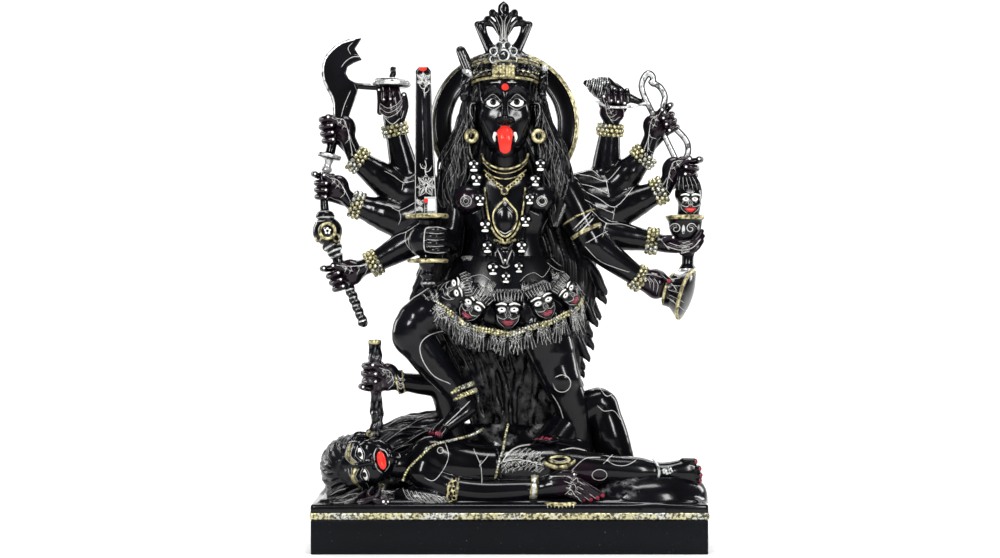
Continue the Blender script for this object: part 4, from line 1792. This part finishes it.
def makeGirdle():
    clay = Clay(girdle["pitch"])
    clay.add(stack("z", *girdle["rows"]))
    for middle, radii in girdle["apron"]:
        clay.add(oval(at(*middle), radii), 4)
    # Hands hang from the hem, all round
    hem = curve([at(*place) for place in girdle["hem"]], 6)
    count = girdle["hands"]
    for place in range(count):
        share = (place + 0.7) / (count + 0.4) * (len(hem) - 1)
        spot = hem[int(share)]
        way = unitWay([(spot[0] + 6) / 68, -max(0.25, -spot[1] / 44), 0])
        long = girdle["hand"] * chance.uniform(0.85, 1.1)
        lean = rightWay * chance.uniform(-0.28, 0.28)
        addHangingHand(clay, away(spot, (way, -1.8 if place % 2 else 0.6), (upWay, 1.0)),
                       way * 0.15 + lean - upWay, long, way)
    for place in range(15):  # plainer ones behind
        turn = math.radians(100 + place * 160 / 14)
        spot = np.array([-1 + 68 * math.cos(turn + math.pi), 36 * math.sin(turn) * 0.98, at(0, 312, 0)[2]])
        way = unitWay([spot[0] / 68, spot[1] / 30, 0])
        addHangingHand(clay, spot, way * 0.2 - upWay, girdle["hand"] * 1.1, way, 3, 0)
    for column, row, depth, lean in girdle["upperHands"]:  # the upper row, behind the heads
        front = unitWay([(column - 507) / 60, -1, 0.1])
        addHangingHand(clay, at(column, row, depth), rightWay * lean - upWay, 17, front, 4, 0.13)
    # The long hand at the right end
    addHangingHand(clay, at(571, 306, -24), rightWay * 0.35 - upWay, 29, unitWay([0.5, -1, 0]))
    band = strand(hem, [2.2] * len(hem), 1)
    clay.add(band, 0.5)
    # Severed heads with their hair drawn up
    for column, row, depth, size, tilt, turn in girdle["heads"]:
        right = unitWay([math.cos(tilt) * math.cos(turn), math.sin(turn) * 0.9, -math.sin(tilt)])
        back = square(backWay * math.cos(turn) - rightWay * math.sin(turn), right)
        pose = Pose(at(column, row, depth), size, right, back)
        carveFace(clay, pose, False, (0.35, 0.2))
        addBoldFace(clay, pose)
        for place in range(9):
            x = (place - 4) * 0.15
            lock = [(x, -0.52, 0.46, 0.065), (x * 1.05, -0.40, 0.75, 0.075), (x * 0.8, -0.1, 1.0, 0.075)]
            clay.add(pose.rods(lock), 0.3)
            clay.stroke([pose.point(x, -0.62, 0.5), pose.point(x * 1.1, -0.48, 0.8)], 0.26, 6)
    # Netted patches and thin threads
    for column, row, depth, wide, high in girdle["net"]:
        for step in range(-3, 4):
            reach = math.sqrt(1 - (step / 4) ** 2)
            for side in (-1, 1):
                ends = [(column + wide * (step / 4 + side * end * 0.55 * reach), row + high * end * reach,
                         depth) for end in (-1, 1)]
                clay.line(*ends, half=0.16, reach=18)
    for thread in girdle["threads"]:
        clay.line(*thread, half=0.25, reach=20)
    # The hand that lies up against the thigh
    wrist, tips = at(449, 326, -44), [at(column, row, depth) for column, row, depth in
                                      ((421, 302, -42), (424, 295, -43), (430, 291, -44), (436, 291, -45))]
    palm = at(439, 312, -46)
    clay.add(rod(wrist, palm, 8.0, 9.0, (frontWay, 1.4)), 1)
    for tip in tips:
        base = palm + (tip - palm) * 0.25
        clay.add(rod(base, tip, 2.7, 2.3), 0.5)
        clay.stroke([away(base, (frontWay, 2)), away(tip, (frontWay, 2))], 0.33, 6)
        for share in (0.35, 0.55, 0.75):
            middle = base + (tip - base) * share
            clay.stroke([away(middle, (upWay, 1.6), (rightWay, 1.4)),
                         away(middle, (upWay, -1.6), (rightWay, -1.4))], 0.25, 6)
    for half, reach, places in girdle["lines"]:
        clay.line(*places, half=half, reach=reach)
    return fire("girdle", [clay], carvedFringe, girdle["share"])


# The god who lies beneath her
god = {
    "pitch": 1.3,
    "share": 0.48,
    "body": [  # column, row, depth, half height, half deep
        (386, 466, -36, 11, 12), (404, 466, -34, 15, 16), (418, 464, -34, 24, 24), (430, 463, -34, 27, 27),
        (448, 464, -34, 27, 27), (470, 466, -34, 23, 25), (490, 467, -34, 21, 24), (520, 468, -33, 23, 25),
        (548, 468, -32, 25, 27), (570, 469, -33, 22, 24), (612, 470, -38, 15, 16),
        (640, 472, -38, 14.5, 14.5), (656, 472, -38, 10, 11), (668, 472, -38, 10, 11),
        (686, 473, -38, 14, 10), (695, 473, -38, 13, 8),
    ],
    "farLeg": [(545, 455, -12, 20), (572, 420, 6, 18), (598, 404, 10, 17), (605, 418, 10, 17),
               (611, 438, 8, 18), (620, 462, 6, 15)],
    "nearArm": [(424, 474, -50, 14), (449, 487, -57, 11.5), (480, 492, -58, 12), (510, 491, -60, 10.5),
                (540, 489, -60, 8.5)],
    "raisedArm": [(455, 440, -6, 13), (449, 412, -8, 12.5), (440, 388, -10, 12), (420, 384, -13, 10.5),
                  (397, 381, -16, 8.5)],
    "toes": [(693, 461.5), (697, 468.5), (698, 475), (697.5, 480.5), (695, 486)],
    "garland": [(403, 480, -55), (408, 469.5, -56), (420.6, 456.5, -59), (434, 445, -61), (454, 439.7, -57),
                (471.5, 435, -49), (483, 429, -38)],
    "secondGarland": [(508, 425, -34), (505, 437.5, -46), (503, 450, -54), (499, 462, -58),
                      (495.5, 478, -57)],
    "lines": [  # half width, places
        (0.4, [(445, 443, -58), (448.5, 456, -62), (443.5, 469.5, -62), (434, 480, -61), (426, 478, -60)]),
        (0.35, [(474, 451, -58), (480, 463.5, -59), (481.5, 472, -59), (482, 481, -58)]),
        (0.35, [(488, 456, -58), (484, 461, -59), (480, 465, -59)]),
        (0.35, [(604, 463, -52), (613, 456, -52), (622, 455, -52), (632, 458, -52)]),
        (0.35, [(608, 461, -52), (615, 465, -53), (626, 465.5, -53), (636, 461, -53)]),
        (0.4, [(572, 470, -56), (585, 459, -56), (600, 458, -55)]),
        (0.35, [(598, 406, -6), (604, 411, -6), (614, 411, -7), (621, 420, -9)]),
        (0.4, [(600, 388, 0), (606, 396, -4), (612, 395, -3)]),
        (0.5, [(562, 449.5, -42), (573, 448, -38), (585, 450, -34)]),
    ],
    "circles": [  # column, row, half across, half high, depth, half width
        (440.3, 450.6, 3, 3, -62, 0.35), (599.5, 475, 7.5, 5.5, -54, 0.4),
    ],
    "staff": [(0, 12.5), (0.04, 9), (0.1, 6.8), (0.16, 5.8), (0.24, 6.8), (0.36, 5.2), (0.5, 6.2),
              (0.66, 5.6), (0.8, 7.0), (0.9, 5.6), (0.95, 6.2), (0.99, 5.9), (1, 5)],
    "buckle": (559.6, 459.5, -59),
    "grip": {"wrist": (397, 381, -16), "place": (375.5, 377, -20), "size": 12.5},
    "fingers": [(583, 499.5), (590.5, 500), (597, 498), (602.5, 495.5)],
    "loinclothEdge": [(497, 449, -52, 1.6), (500, 462, -57, 1.6), (501, 478, -58, 1.6)],
    "restingPalm": [(540, 489, -60, 9), (554, 486, -61, 11), (568, 484, -62, 10.5)],
    "shoulderRoll": [(400, 494, -54, 6), (416, 498, -60, 9), (436, 501, -62, 8.5), (450, 502, -60, 6)],
    "seams": [  # half width, reach, places
        (0.7, 22, [(503, 461, -58), (509, 453, -57), (518, 448, -56), (530, 446, -55)]),
        (0.5, 22, [(501, 463, -58), (513, 460, -58), (527, 461, -58), (542, 465, -57)]),
        (0.4, 9, [(551, 476, -68), (560, 476, -70), (570, 476, -70)]),
    ],
}


def makeGod():
    clay = Clay(god["pitch"])
    clay.add(stack("x", *god["body"]))
    clay.add(oval(at(432, 452, -46), [20, 14, 15]), 6).add(oval(at(433, 476, -46), [19, 14, 14]), 6)
    clay.add(limb(*god["nearArm"]), 3)
    clay.add(ball(at(424, 472, -46), 16), 5)
    clay.add(limb(*god["raisedArm"]), 3)
    clay.add(limb(*god["farLeg"]), 4)
    for column, row in god["toes"]:
        tip = at(column + 1.5, row, -43)
        clay.add(rod(at(column - 10, row, -40), tip, 3.6, 3.3), 0.8)
        clay.paint("rose", ball(away(tip, (rightWay, 1.6), (frontWay, 2.0)), 2.0))
        clay.paint("white", ball(away(tip, (frontWay, 3.0), (rightWay, 1.4)), 0.7))
    addFoot(clay, at(622, 468, 6), at(646, 478, 2), 9)
    ankle = strand([at(653, 459, -46), at(658, 466, -50), at(659, 475, -51), at(655, 487, -48)],
                   [1.3, 1.5, 1.5, 1.2])
    clay.trim("silver", ankle, 0.6, 0.6)
    for place in range(11):
        dot = at(662 + 3.0 * (place % 4) + (place // 4), 467.5 + 2.6 * (place // 4) + place % 2, -49)
        clay.add(ball(dot, 1.1), 0.4).paint("silver", ball(dot, 1.3))
    for half, places in god["lines"]:
        clay.line(*places, half=half, reach=22)
    for column, row, wide, high, depth, half in god["circles"]:
        ringed = [(column + wide * math.sin(t), row + high * math.cos(t), depth)
                  for t in np.linspace(0, 2 * np.pi, 13)]
        clay.line(*ringed, count=3, half=half, reach=22)
    # Loincloth of tiger skin: a pale hem and rows of short strokes
    clay.add(limb(*god["loinclothEdge"]), 0.6)
    for step in range(12):
        for row in range(4):
            column = 503 + step * 3.4 + chance.uniform(-0.6, 0.6)
            top = 450 + row * 5.2 + abs(step - 6) * 0.5 + chance.uniform(-0.6, 0.6)
            bend = chance.uniform(-1.0, 1.4)
            clay.line((column - 1.2, top + 4.2, -58), (column + 0.5 + 0.6 * bend, top + 1.8, -58),
                      (column + 3.4, top, -58), half=0.22, reach=22)
    # The oval buckle over a gilt crescent
    column, row, depth = god["buckle"]
    plate = oval(at(column, row + 1, depth), [15, 3.0, 6.5])
    clay.add(plate, 1.0)
    turns = np.linspace(0, 2 * np.pi, 19)
    rim = strand([away(at(column, row, depth - 2.4), (rightWay, 9.8 * math.sin(a)),
                       (upWay, 3.1 * math.cos(a))) for a in turns], [0.85] * 19, 1)
    clay.trim("gold", rim, 0.3, 0.2)
    crescent = limb((column - 15.5, row + 2.5, depth, 1.6), (column - 8, row + 7, depth - 1, 2.1),
                    (column, row + 8.4, depth - 1, 2.3), (column + 8, row + 6.5, depth - 1, 2.1),
                    (column + 15.5, row + 1.5, depth, 1.4))
    clay.add(crescent, 0.4).paint("gold", crescent, 0.35)
    clay.line((column - 9, row - 0.5, depth - 4), (column, row + 2.2, depth - 4),
              (column + 9, row - 0.5, depth - 4), half=0.3, reach=8)
    # The resting hand with its long fingers
    clay.add(limb(*god["restingPalm"]), 2)
    for place, (column, row) in enumerate(god["fingers"]):
        start = at(568 - place * 1.5, 493.5 - place * 6.3, -66)
        points = [start, at(575 + place * 1.5, 495.5 - place * 4.6, -69),
                  (start + at(column, row, -64)) / 2 + [5, -4, -1.5], at(column, row, -66)]
        addFinger(clay, points, 3.5)
        clay.paint("rose", ball(at(column + 0.5, row, -69), 2.2))
        clay.line((566 + place * 3, 494 - place * 6, -72), (571 + place * 3, 490 - place * 6, -73),
                  (574 + place * 2, 494 - place * 6, -72), half=0.32)
        clay.line((column - 12, row - 1, -70), (column - 5, row + 4, -70), (column + 1, row + 3.6, -70),
                  half=0.32, reach=9)
    clay.paint("tint", ball(at(580, 488, -62), 26))
    addFinger(clay, [at(550, 478, -66), at(562, 473, -70), at(574, 474, -70)], 3.8)
    for half, reach, places in god["seams"]:
        clay.line(*places, half=half, reach=reach)
    for radius, thick in ((10.6, 1.1), (10.3, 1.9)):
        wide = [hoop(at(533.8 + shift, 487.5, -60), (1, 0, -0.08), radius, thick)
                for shift in ((-2.6, 2.6) if thick < 1.5 else (0,))]
        clay.trim("gold" if thick < 1.5 else "silver", wide, 0.4, 0.3)
    fringe = [limb((546, 503.6, -72, 1.9), (560.5, 504.6, -73.6, 2.2), (575, 503.6, -72, 1.9))]
    fringe += [limb((547.4 + 3.75 * place, 505, -74.4, 1.2), (547.4 + 3.75 * place, 509.6, -75, 1.0))
               for place in range(8)]
    for part in fringe:
        clay.add(part, 0.4).paint("gold", part, 0.15)
    # Armlet of curled plates, and strokes of fringe under the shoulder
    for shift in (-4.6, 4.6):
        clay.trim("gold", hoop(at(452.5 + shift, 491, -57), (1, 0, -0.12), 12.6, 1.0), 0.4, 0.25)
    for place in range(7):
        curl = hoop(at(452.5 + 1.5 * math.cos(place * math.pi),
                       479 + place * 4.8, -70.2 + 0.25 * (place - 3) ** 2), frontWay, 2.1, 0.75)
        clay.trim("gold", curl, 0.3, 0.2)
    clay.add(limb(*god["shoulderRoll"]), 3)
    for place in range(10):
        clay.line((403 + 4.4 * place, 490 + 0.7 * place, -64), (407 + 4.4 * place, 498, -70),
                  (415 + 4.4 * place, 505 + 0.4 * (place % 3), -76), half=0.3, reach=24)
    # The staff in the raised hand, its top face gilded
    start, end = at(377.5, 436, -22), at(374.7, 339.5, -18)
    clay.add(turned(start, end, god["staff"], (4, 0.10, 0.22)), 0.6)
    clay.relief(lambda x, y, z: 0.5 * np.sin(z * 0.55 + 2 * np.sin(x * 0.5)) * np.sin(x * 0.9 + y * 0.7),
                at(362, 437, -34), at(392, 341, -6), 0.6)
    clay.paint("gold", oval(at(374.7, 341.8, -24), [7, 7, 2.4]))
    hold = god["grip"]
    addFist(clay, at(*hold["wrist"]), at(*hold["place"]), upWay, hold["size"], 3)
    # Bangle of pointed plates
    for shift in (-3.2, 3.2):
        clay.trim("gold", hoop(at(400.6 + shift, 382, -16), (1, 0, 0.12), 10.2, 0.8), 0.3, 0.3)
    plate = hoop(at(400.6, 382, -16), (1, 0, 0.12), 9.6, 2.6, 1.0)
    clay.add(plate, 0.3)
    for row, way in ((371.5, 1), (392.5, -1)):
        point = rod(at(400.6, row + way * 1.5, -16), at(400.6 + way * 1.5, row - way * 2, -16), 2.6, 0.9)
        clay.trim("gold", point, 0.5, 0.2)
    for row in (376, 381, 386):
        clay.line((398, row, -26), (400.6, row + 3, -26), (403.4, row, -26), half=0.4, reach=8)
    return fire("godBody", [clay], polished, god["share"])


godFace = {
    "pitch": 0.72,
    "share": 0.5,
    "middle": (364, 462.5, -36),
    "scale": (38, 35, 33),
    "right": (-0.22, 0, 0.975),
    "eye": (0.27, 0.17),
    "neck": [(390, 464, -36, 12), (402, 466, -35, 14)],
}


def makeGodHead():
    clay = Clay(godFace["pitch"])
    pose = Pose(at(*godFace["middle"]), godFace["scale"], godFace["right"])
    carveFace(clay, pose, True, godFace["eye"])
    addEyes(clay, pose, 0.075, godFace["eye"], 0.07)
    # The mouth stands open
    clay.add(pose.oval(0, -0.58, -0.58, 0.30, 0.16, 0.19), 1)
    clay.cut(pose.oval(0, -0.76, -0.58, 0.19, 0.10, 0.09), 1)
    clay.paint("red", pose.oval(0, -0.7, -0.58, 0.24, 0.16, 0.125))
    for side in (-1, 1):
        brow = pose.points([(0.08, -0.62, 0.24), (0.29, -0.64, 0.37), (0.56, -0.42, 0.24)], side)
        stroke = strand(brow, [1.5, 2.1, 1.0], 4)
        clay.add(stroke, 0.8).paint("gold", stroke, 0.35)
        clay.stroke(curve([away(place, (frontWay, 2)) for place in brow], 4), 0.5, 9)
        for lift in (-0.09, 0.09):
            trace = pose.points([(0.10, -0.62, 0.24 + lift), (0.29, -0.64, 0.37 + lift),
                                 (0.54, -0.42, 0.24 + lift)], side)
            clay.stroke(curve(trace, 4), 0.28, 9)
        moustache = pose.points([(0.05, -0.72, -0.38), (0.2, -0.7, -0.40), (0.3, -0.62, -0.48)], side)
        clay.stroke(curve(moustache, 4), 0.5, 9)
        chin = pose.points([(0.3, -0.62, -0.60), (0.2, -0.66, -0.74), (0.08, -0.68, -0.79)], side)
        clay.stroke(curve(chin, 4), 0.4, 9)
        ear = pose.rods([(0.66, 0.0, 0.12, 0.1), (0.72, 0.05, 0.0, 0.11), (0.68, 0.0, -0.22, 0.1)], side)
        clay.add(ear, 0.8)
        clay.trim("gold", hoop(pose.point(side * 0.7, -0.1, -0.36), frontWay, 2.4, 1.0), 0.3, 0.2)
    for shift in (-0.1, 0.0, 0.1):
        clay.stroke(pose.points([(-0.34, -0.5, 0.46 + shift), (-0.04, -0.6, 0.44 + shift)]), 0.33, 12)
    clay.add(limb(*godFace["neck"]), 3)
    for shift in (0, 4.5):
        clay.line((399 + shift, 455, -50), (403 + shift, 466, -52), (396 + shift, 479, -49),
                  half=0.4, reach=18)
    return fire("godHead", [clay], polished, godFace["share"])


godHair = {
    "pitch": 1.1,
    "share": 0.48,
    "cap": {"middle": (353, 467, -22), "wide": 31, "deep": 34, "high": 31, "locks": 60},
    "fan": [(366, 449, -20, 17, 22), (378, 445, -17, 17, 18), (396, 438, -12, 18, 16), (425, 430, 0, 17, 14),
            (452, 424, 6, 14, 12)],
    "behind": [(352, 502, -8, 28, 30), (354, 488, -7, 27, 29), (356, 472, -6, 22, 25),
               (366, 452, -6, 13, 15)],
    "fanLocks": 26,
    "tresses": [
        [(360, 491, -56, 4), (349, 495, -62, 5), (338, 499, -67, 4.5), (330, 501, -70, 3)],
        [(366, 493, -58, 4), (357, 498, -65, 5), (345, 502, -70, 4.5), (334, 503.5, -72.5, 3)],
        [(344, 488, -56, 4), (334, 492, -60, 4.5), (328, 496, -62, 3)],
        [(372, 490, -60, 3.5), (368, 496, -66, 4), (376, 501, -70, 4), (383, 503, -71, 3)],
        [(380, 489, -60, 3.5), (378, 495, -66, 4), (368, 500, -70, 4), (358, 503, -71, 3)],
    ],
    "pale": [
        [(357, 494, -66), (349, 495, -68), (341, 499, -71)],
        [(352, 499, -70), (343, 502, -73), (334, 503, -75)],
        [(362, 501, -72), (352, 503, -74), (345, 504, -76)],
        [(346, 489, -62), (338, 491, -66), (331, 495, -68)],
    ],
    "skull": (386, 502, -69),
}


def makeGodHair():
    clay = Clay(godHair["pitch"])
    cap = godHair["cap"]
    middle = at(*cap["middle"])
    clay.add(oval(middle, [cap["wide"], cap["deep"], cap["high"]]))
    clay.add(stack("x", *godHair["fan"]), 4).add(stack("z", *godHair["behind"]), 3)
    # Curly locks fan out from the brow over the cap
    for lock in range(cap["locks"]):
        angle = math.radians(22 + 316 * lock / (cap["locks"] - 1))
        phase = chance.uniform(0, 6.3)
        places, radii = [], []
        for share in np.linspace(0, 1, 8):
            lean = math.radians(26 + 100 * share)
            turn = angle + 0.06 * math.sin(7 * share * 2.2 + phase) - 0.35 * share * share
            side = math.sin(lean) * (1.0 + 0.03 * math.sin(9 * share + phase))
            places.append(away(middle, (rightWay, cap["wide"] * side * math.cos(turn)),
                               (upWay, cap["high"] * side * math.sin(turn)),
                               (frontWay, cap["deep"] * math.cos(lean))))
            radii.append(1.7 - 0.3 * share + 0.3 * math.sin(12 * share + phase))
        clay.add(strand(places, radii, 2), 0.4)
        if lock % 3 == 1:
            clay.stroke(np.array([away(place, (frontWay, 1.5)) for place in places[1:6]]), 0.22, 8)
    stations = curve(godHair["fan"], 4)
    for lock in range(godHair["fanLocks"]):
        angle = 2 * math.pi * lock / godHair["fanLocks"]
        phase = chance.uniform(0, 6.3)
        places, radii = [], []
        for number, (column, row, depth, high, deep) in enumerate(stations[1:-1]):
            turn = angle + 0.22 * math.sin(column / 9 + phase)
            out = 1 + 0.04 * math.sin(column / 4 + phase)
            places.append(away(at(column, row, depth), (upWay, high * out * math.sin(turn)),
                               (backWay, -deep * out * math.cos(turn))))
            radii.append(1.8 + 0.4 * math.sin(number * 0.9 + phase))
        clay.add(strand(places, radii, 2), 0.5)
        if math.cos(angle) > 0.2 and lock % 2:
            clay.stroke(np.array([away(place, (frontWay, 1.5)) for place in places]), 0.25, 8)
    for rows in godHair["tresses"]:
        for shift in (-2.2, 0, 2.2):
            clay.add(limb(*[(column, row + shift * math.cos(place), depth - abs(shift) * 0.4, thick * 0.5)
                            for place, (column, row, depth, thick) in enumerate(rows)]), 0.5)
    for rows in godHair["pale"]:
        clay.line(*rows, half=0.6, reach=12)
    for column in (371, 376, 381):
        clay.paint("tint", ball(at(column, 500, -70), 12))
    addSkull(clay, at(*godHair["skull"]), 4.6)
    return fire("godHair", [clay], carvedHair, godHair["share"])


# The ground they rest on: dark rock over a slab with a gilt border
ground = {
    "pitch": 2.0,
    "share": 0.45,
    "rock": [(505, 505, 22, 150, 48), (507, 480, 24, 132, 42), (510, 455, 25, 108, 34),
             (522, 430, 26, 78, 22), (522, 423, 26, 70, 18)],
    "headRest": [(331, 503, 30, 16, 26), (338, 480, 28, 9, 20)],
    "footRest": [(650, 503, -28, 57, 44), (650, 491, -28, 56, 42), (650, 482, -28, 51, 36),
                 (652, 475, -30, 38, 24)],
    "slab": (191.8, 75.7, 19.35),
    "step": (7.0, 4.4),  # how far in and how high the slab's soft edge stands
}


def makeGround():
    clay = Clay(ground["pitch"])
    across, deep, high = ground["slab"]
    inwards, drop = ground["step"]
    clay.add(block((-across, -deep, 0), (across, deep, high - drop), 2))
    clay.add(block((inwards - across, inwards - deep, 0), (across - inwards, deep - inwards, high), 4), 4)
    clay.add([stack("z", *ground[key]) for key in ("rock", "headRest", "footRest")], 5)
    clay.relief(lambda x, y, z: np.where((z > 21) & (x < 125), 1.1 * roughness(x, y, z), 0),
                np.array([-195, -80, 0]), np.array([195, 80, 110]), 0.4)
    return fire("ground", [clay], polished, ground["share"])


border = {"pitch": 1.05, "share": 0.5, "across": 192.8, "deep": 76.7, "high": 7.3, "thick": 3.4}


def makeBorder():
    clay = Clay(border["pitch"])
    across, deep, high, thick = (border[key] for key in ("across", "deep", "high", "thick"))
    clay.add([block((-across, side - thick / 2, 0), (across, side + thick / 2, high))
              for side in (thick / 2 - deep, deep - thick / 2)])
    clay.add([block((side - thick / 2, -deep, 0), (side + thick / 2, deep, high))
              for side in (thick / 2 - across, across - thick / 2)])
    clay.relief(lambda x, y, z: -0.4 + 0.42 * np.sin((x + y) * 1.1 + 1.5 * np.sin(z * 0.9)) * np.cos(z * 1.4)
                + 0 * y, np.array([-200, -80, 0.0]), np.array([200, 80, 9.0]))
    points, quads = clay.mesh()
    mesh = meshFrom("giltBorder", metres(points), quads)
    return show("giltBorder", thinned(mesh, np.zeros(len(points), bool), border["share"]), gilt)


def makePlinth():
    shape = bmesh.new()
    bmesh.ops.create_cube(shape, size=1)
    low, high = np.array(plinthLow), np.array(plinthHigh)
    for vertex in shape.verts:
        vertex.co = Vector(low + (high - low) * (np.array(vertex.co) + 0.5))
    bmesh.ops.bevel(shape, geom=list(shape.edges), offset=0.0022, segments=4, profile=0.6, affect="EDGES")
    mesh = bpy.data.meshes.new("plinthSlab")
    shape.to_mesh(mesh)
    shape.free()
    mesh.shade_smooth()
    return show("plinthSlab", mesh, slabStone, "plinth_stone")


# Strings of gold beads
beads = {
    "size": 2.35,
    "rows": 3,
    "around": 15,
    "cells": 3,
    "anklets": [((460, 389.5, -24), 14.0), ((464, 395.8, -24), 13.0)],  # middle, radius
    "ankletWay": (-0.3, 0.05, 0.72),
    "ankletAround": 26,
    "garland": 1.5,
    "hem": 1.7,
    "hemRows": [(1.4, 2.0), (-1.4, 2.4)],  # up, ahead of the hem
}


def beadMesh(name, places, sizes, finish):
    cells = beads["cells"]
    ticks = np.tan(np.linspace(-math.pi / 4, math.pi / 4, cells + 1))
    points, quads = [], []
    for axis in range(3):
        for sign in (-1, 1):
            start = len(points)
            for u in ticks:
                for v in ticks:
                    corner = np.roll([sign, u, v], axis)
                    points.append(corner / np.linalg.norm(corner))
            for i in range(cells):
                for j in range(cells):
                    a = start + i * (cells + 1) + j
                    face = (a, a + cells + 1, a + cells + 2, a + 1)
                    quads.append(face if sign > 0 else face[::-1])
    points, quads = np.array(points), np.array(quads)
    allPoints = np.vstack([np.asarray(place) + points * size for place, size in zip(places, sizes)])
    allQuads = np.vstack([quads + number * len(points) for number in range(len(places))])
    mesh = meshFrom(name, metres(allPoints), allQuads)
    shape = bmesh.new()
    shape.from_mesh(mesh)
    bmesh.ops.remove_doubles(shape, verts=shape.verts, dist=0.00001)
    shape.to_mesh(mesh)
    shape.free()
    mesh.shade_smooth()
    return show(name, mesh, finish)


def ringOfBeads(middle, axis, radius, size, count, twist=0.0):
    axis = unitWay(axis)
    side = square(rightWay if abs(axis[0]) < 0.8 else upWay, axis)
    other = np.cross(axis, side)
    turns = 2 * math.pi * (np.arange(count) + twist) / count
    return [(middle + radius * (math.cos(a) * side + math.sin(a) * other), size * chance.uniform(0.9, 1.1))
            for a in turns]


def alongBeads(places, size, gap=1.8):
    return beadsOn([at(*place) for place in places], size, gap)


def beadsOn(places, size, gap=1.8):
    line = curve(places, 12)
    steps = np.concatenate([[0], np.cumsum(np.linalg.norm(np.diff(line, axis=0), axis=1))])
    stations = np.arange(0, steps[-1], size * gap)
    return [(np.array([np.interp(s, steps, line[:, i]) for i in range(3)]), size * chance.uniform(0.92, 1.08))
            for s in stations]


def makeBeads():
    strings = []
    for key in ("armsLeft", "armsRight"):
        for arm in arms[key]:
            if not arm.get("bangle", True):
                continue
            elbow, wrist = at(*arm["elbow"]), at(*arm["wrist"])
            along = unitWay(wrist - elbow)
            for row in range(beads["rows"]):
                middle = away(wrist, (along, (row - 1.2) * 4.2 + 1.0))
                strings += ringOfBeads(middle, along, arm["radii"][2] + 2.2 - 0.4 * abs(row - 1),
                                       beads["size"], beads["around"], row % 2 / 2)
    way, around = beads["ankletWay"], beads["ankletAround"]
    for place, radius in beads["anklets"]:
        middle = at(*place)
        strings += ringOfBeads(middle, way, radius, 1.9, around)
        strings += ringOfBeads(away(middle, (upWay, 1.9)), way, radius - 0.4, 1.6, around, 0.5)
    for key in ("garland", "secondGarland"):
        strings += alongBeads(god[key], beads["garland"])
    for lift, ahead in beads["hemRows"]:
        hem = [away(at(*place), (unitWay([(place[0] - 507) / 68, -1, 0]), ahead), (upWay, lift))
               for place in girdle["hem"]]
        strings += beadsOn(hem, beads["hem"])
    places, sizes = zip(*strings)
    return beadMesh("goldBeads", places, sizes, gilt)


gilt = giltFinish("gilding", (0.58, 0.54, 0.30, 1), (0.62, 0.63, 0.58, 1), (0.03, 0.028, 0.014, 1))
slabStone = slabFinish("slabStone")

makeHalo()
makeHead()
makeTrunk()
makeTresses()
makeMantle()
makeGirdle()
makeLegs()
makeArms("armsLeft", "creasesLeft")
makeArms("armsRight", "creasesRight")
makeHands("handsLeft")
makeHands("handsRight")
makeWeapons()
makeOfferings()
makeGod()
makeGodHead()
makeGodHair()
makeGround()
makeBorder()
makePlinth()
makeBeads()
print("pieces made")
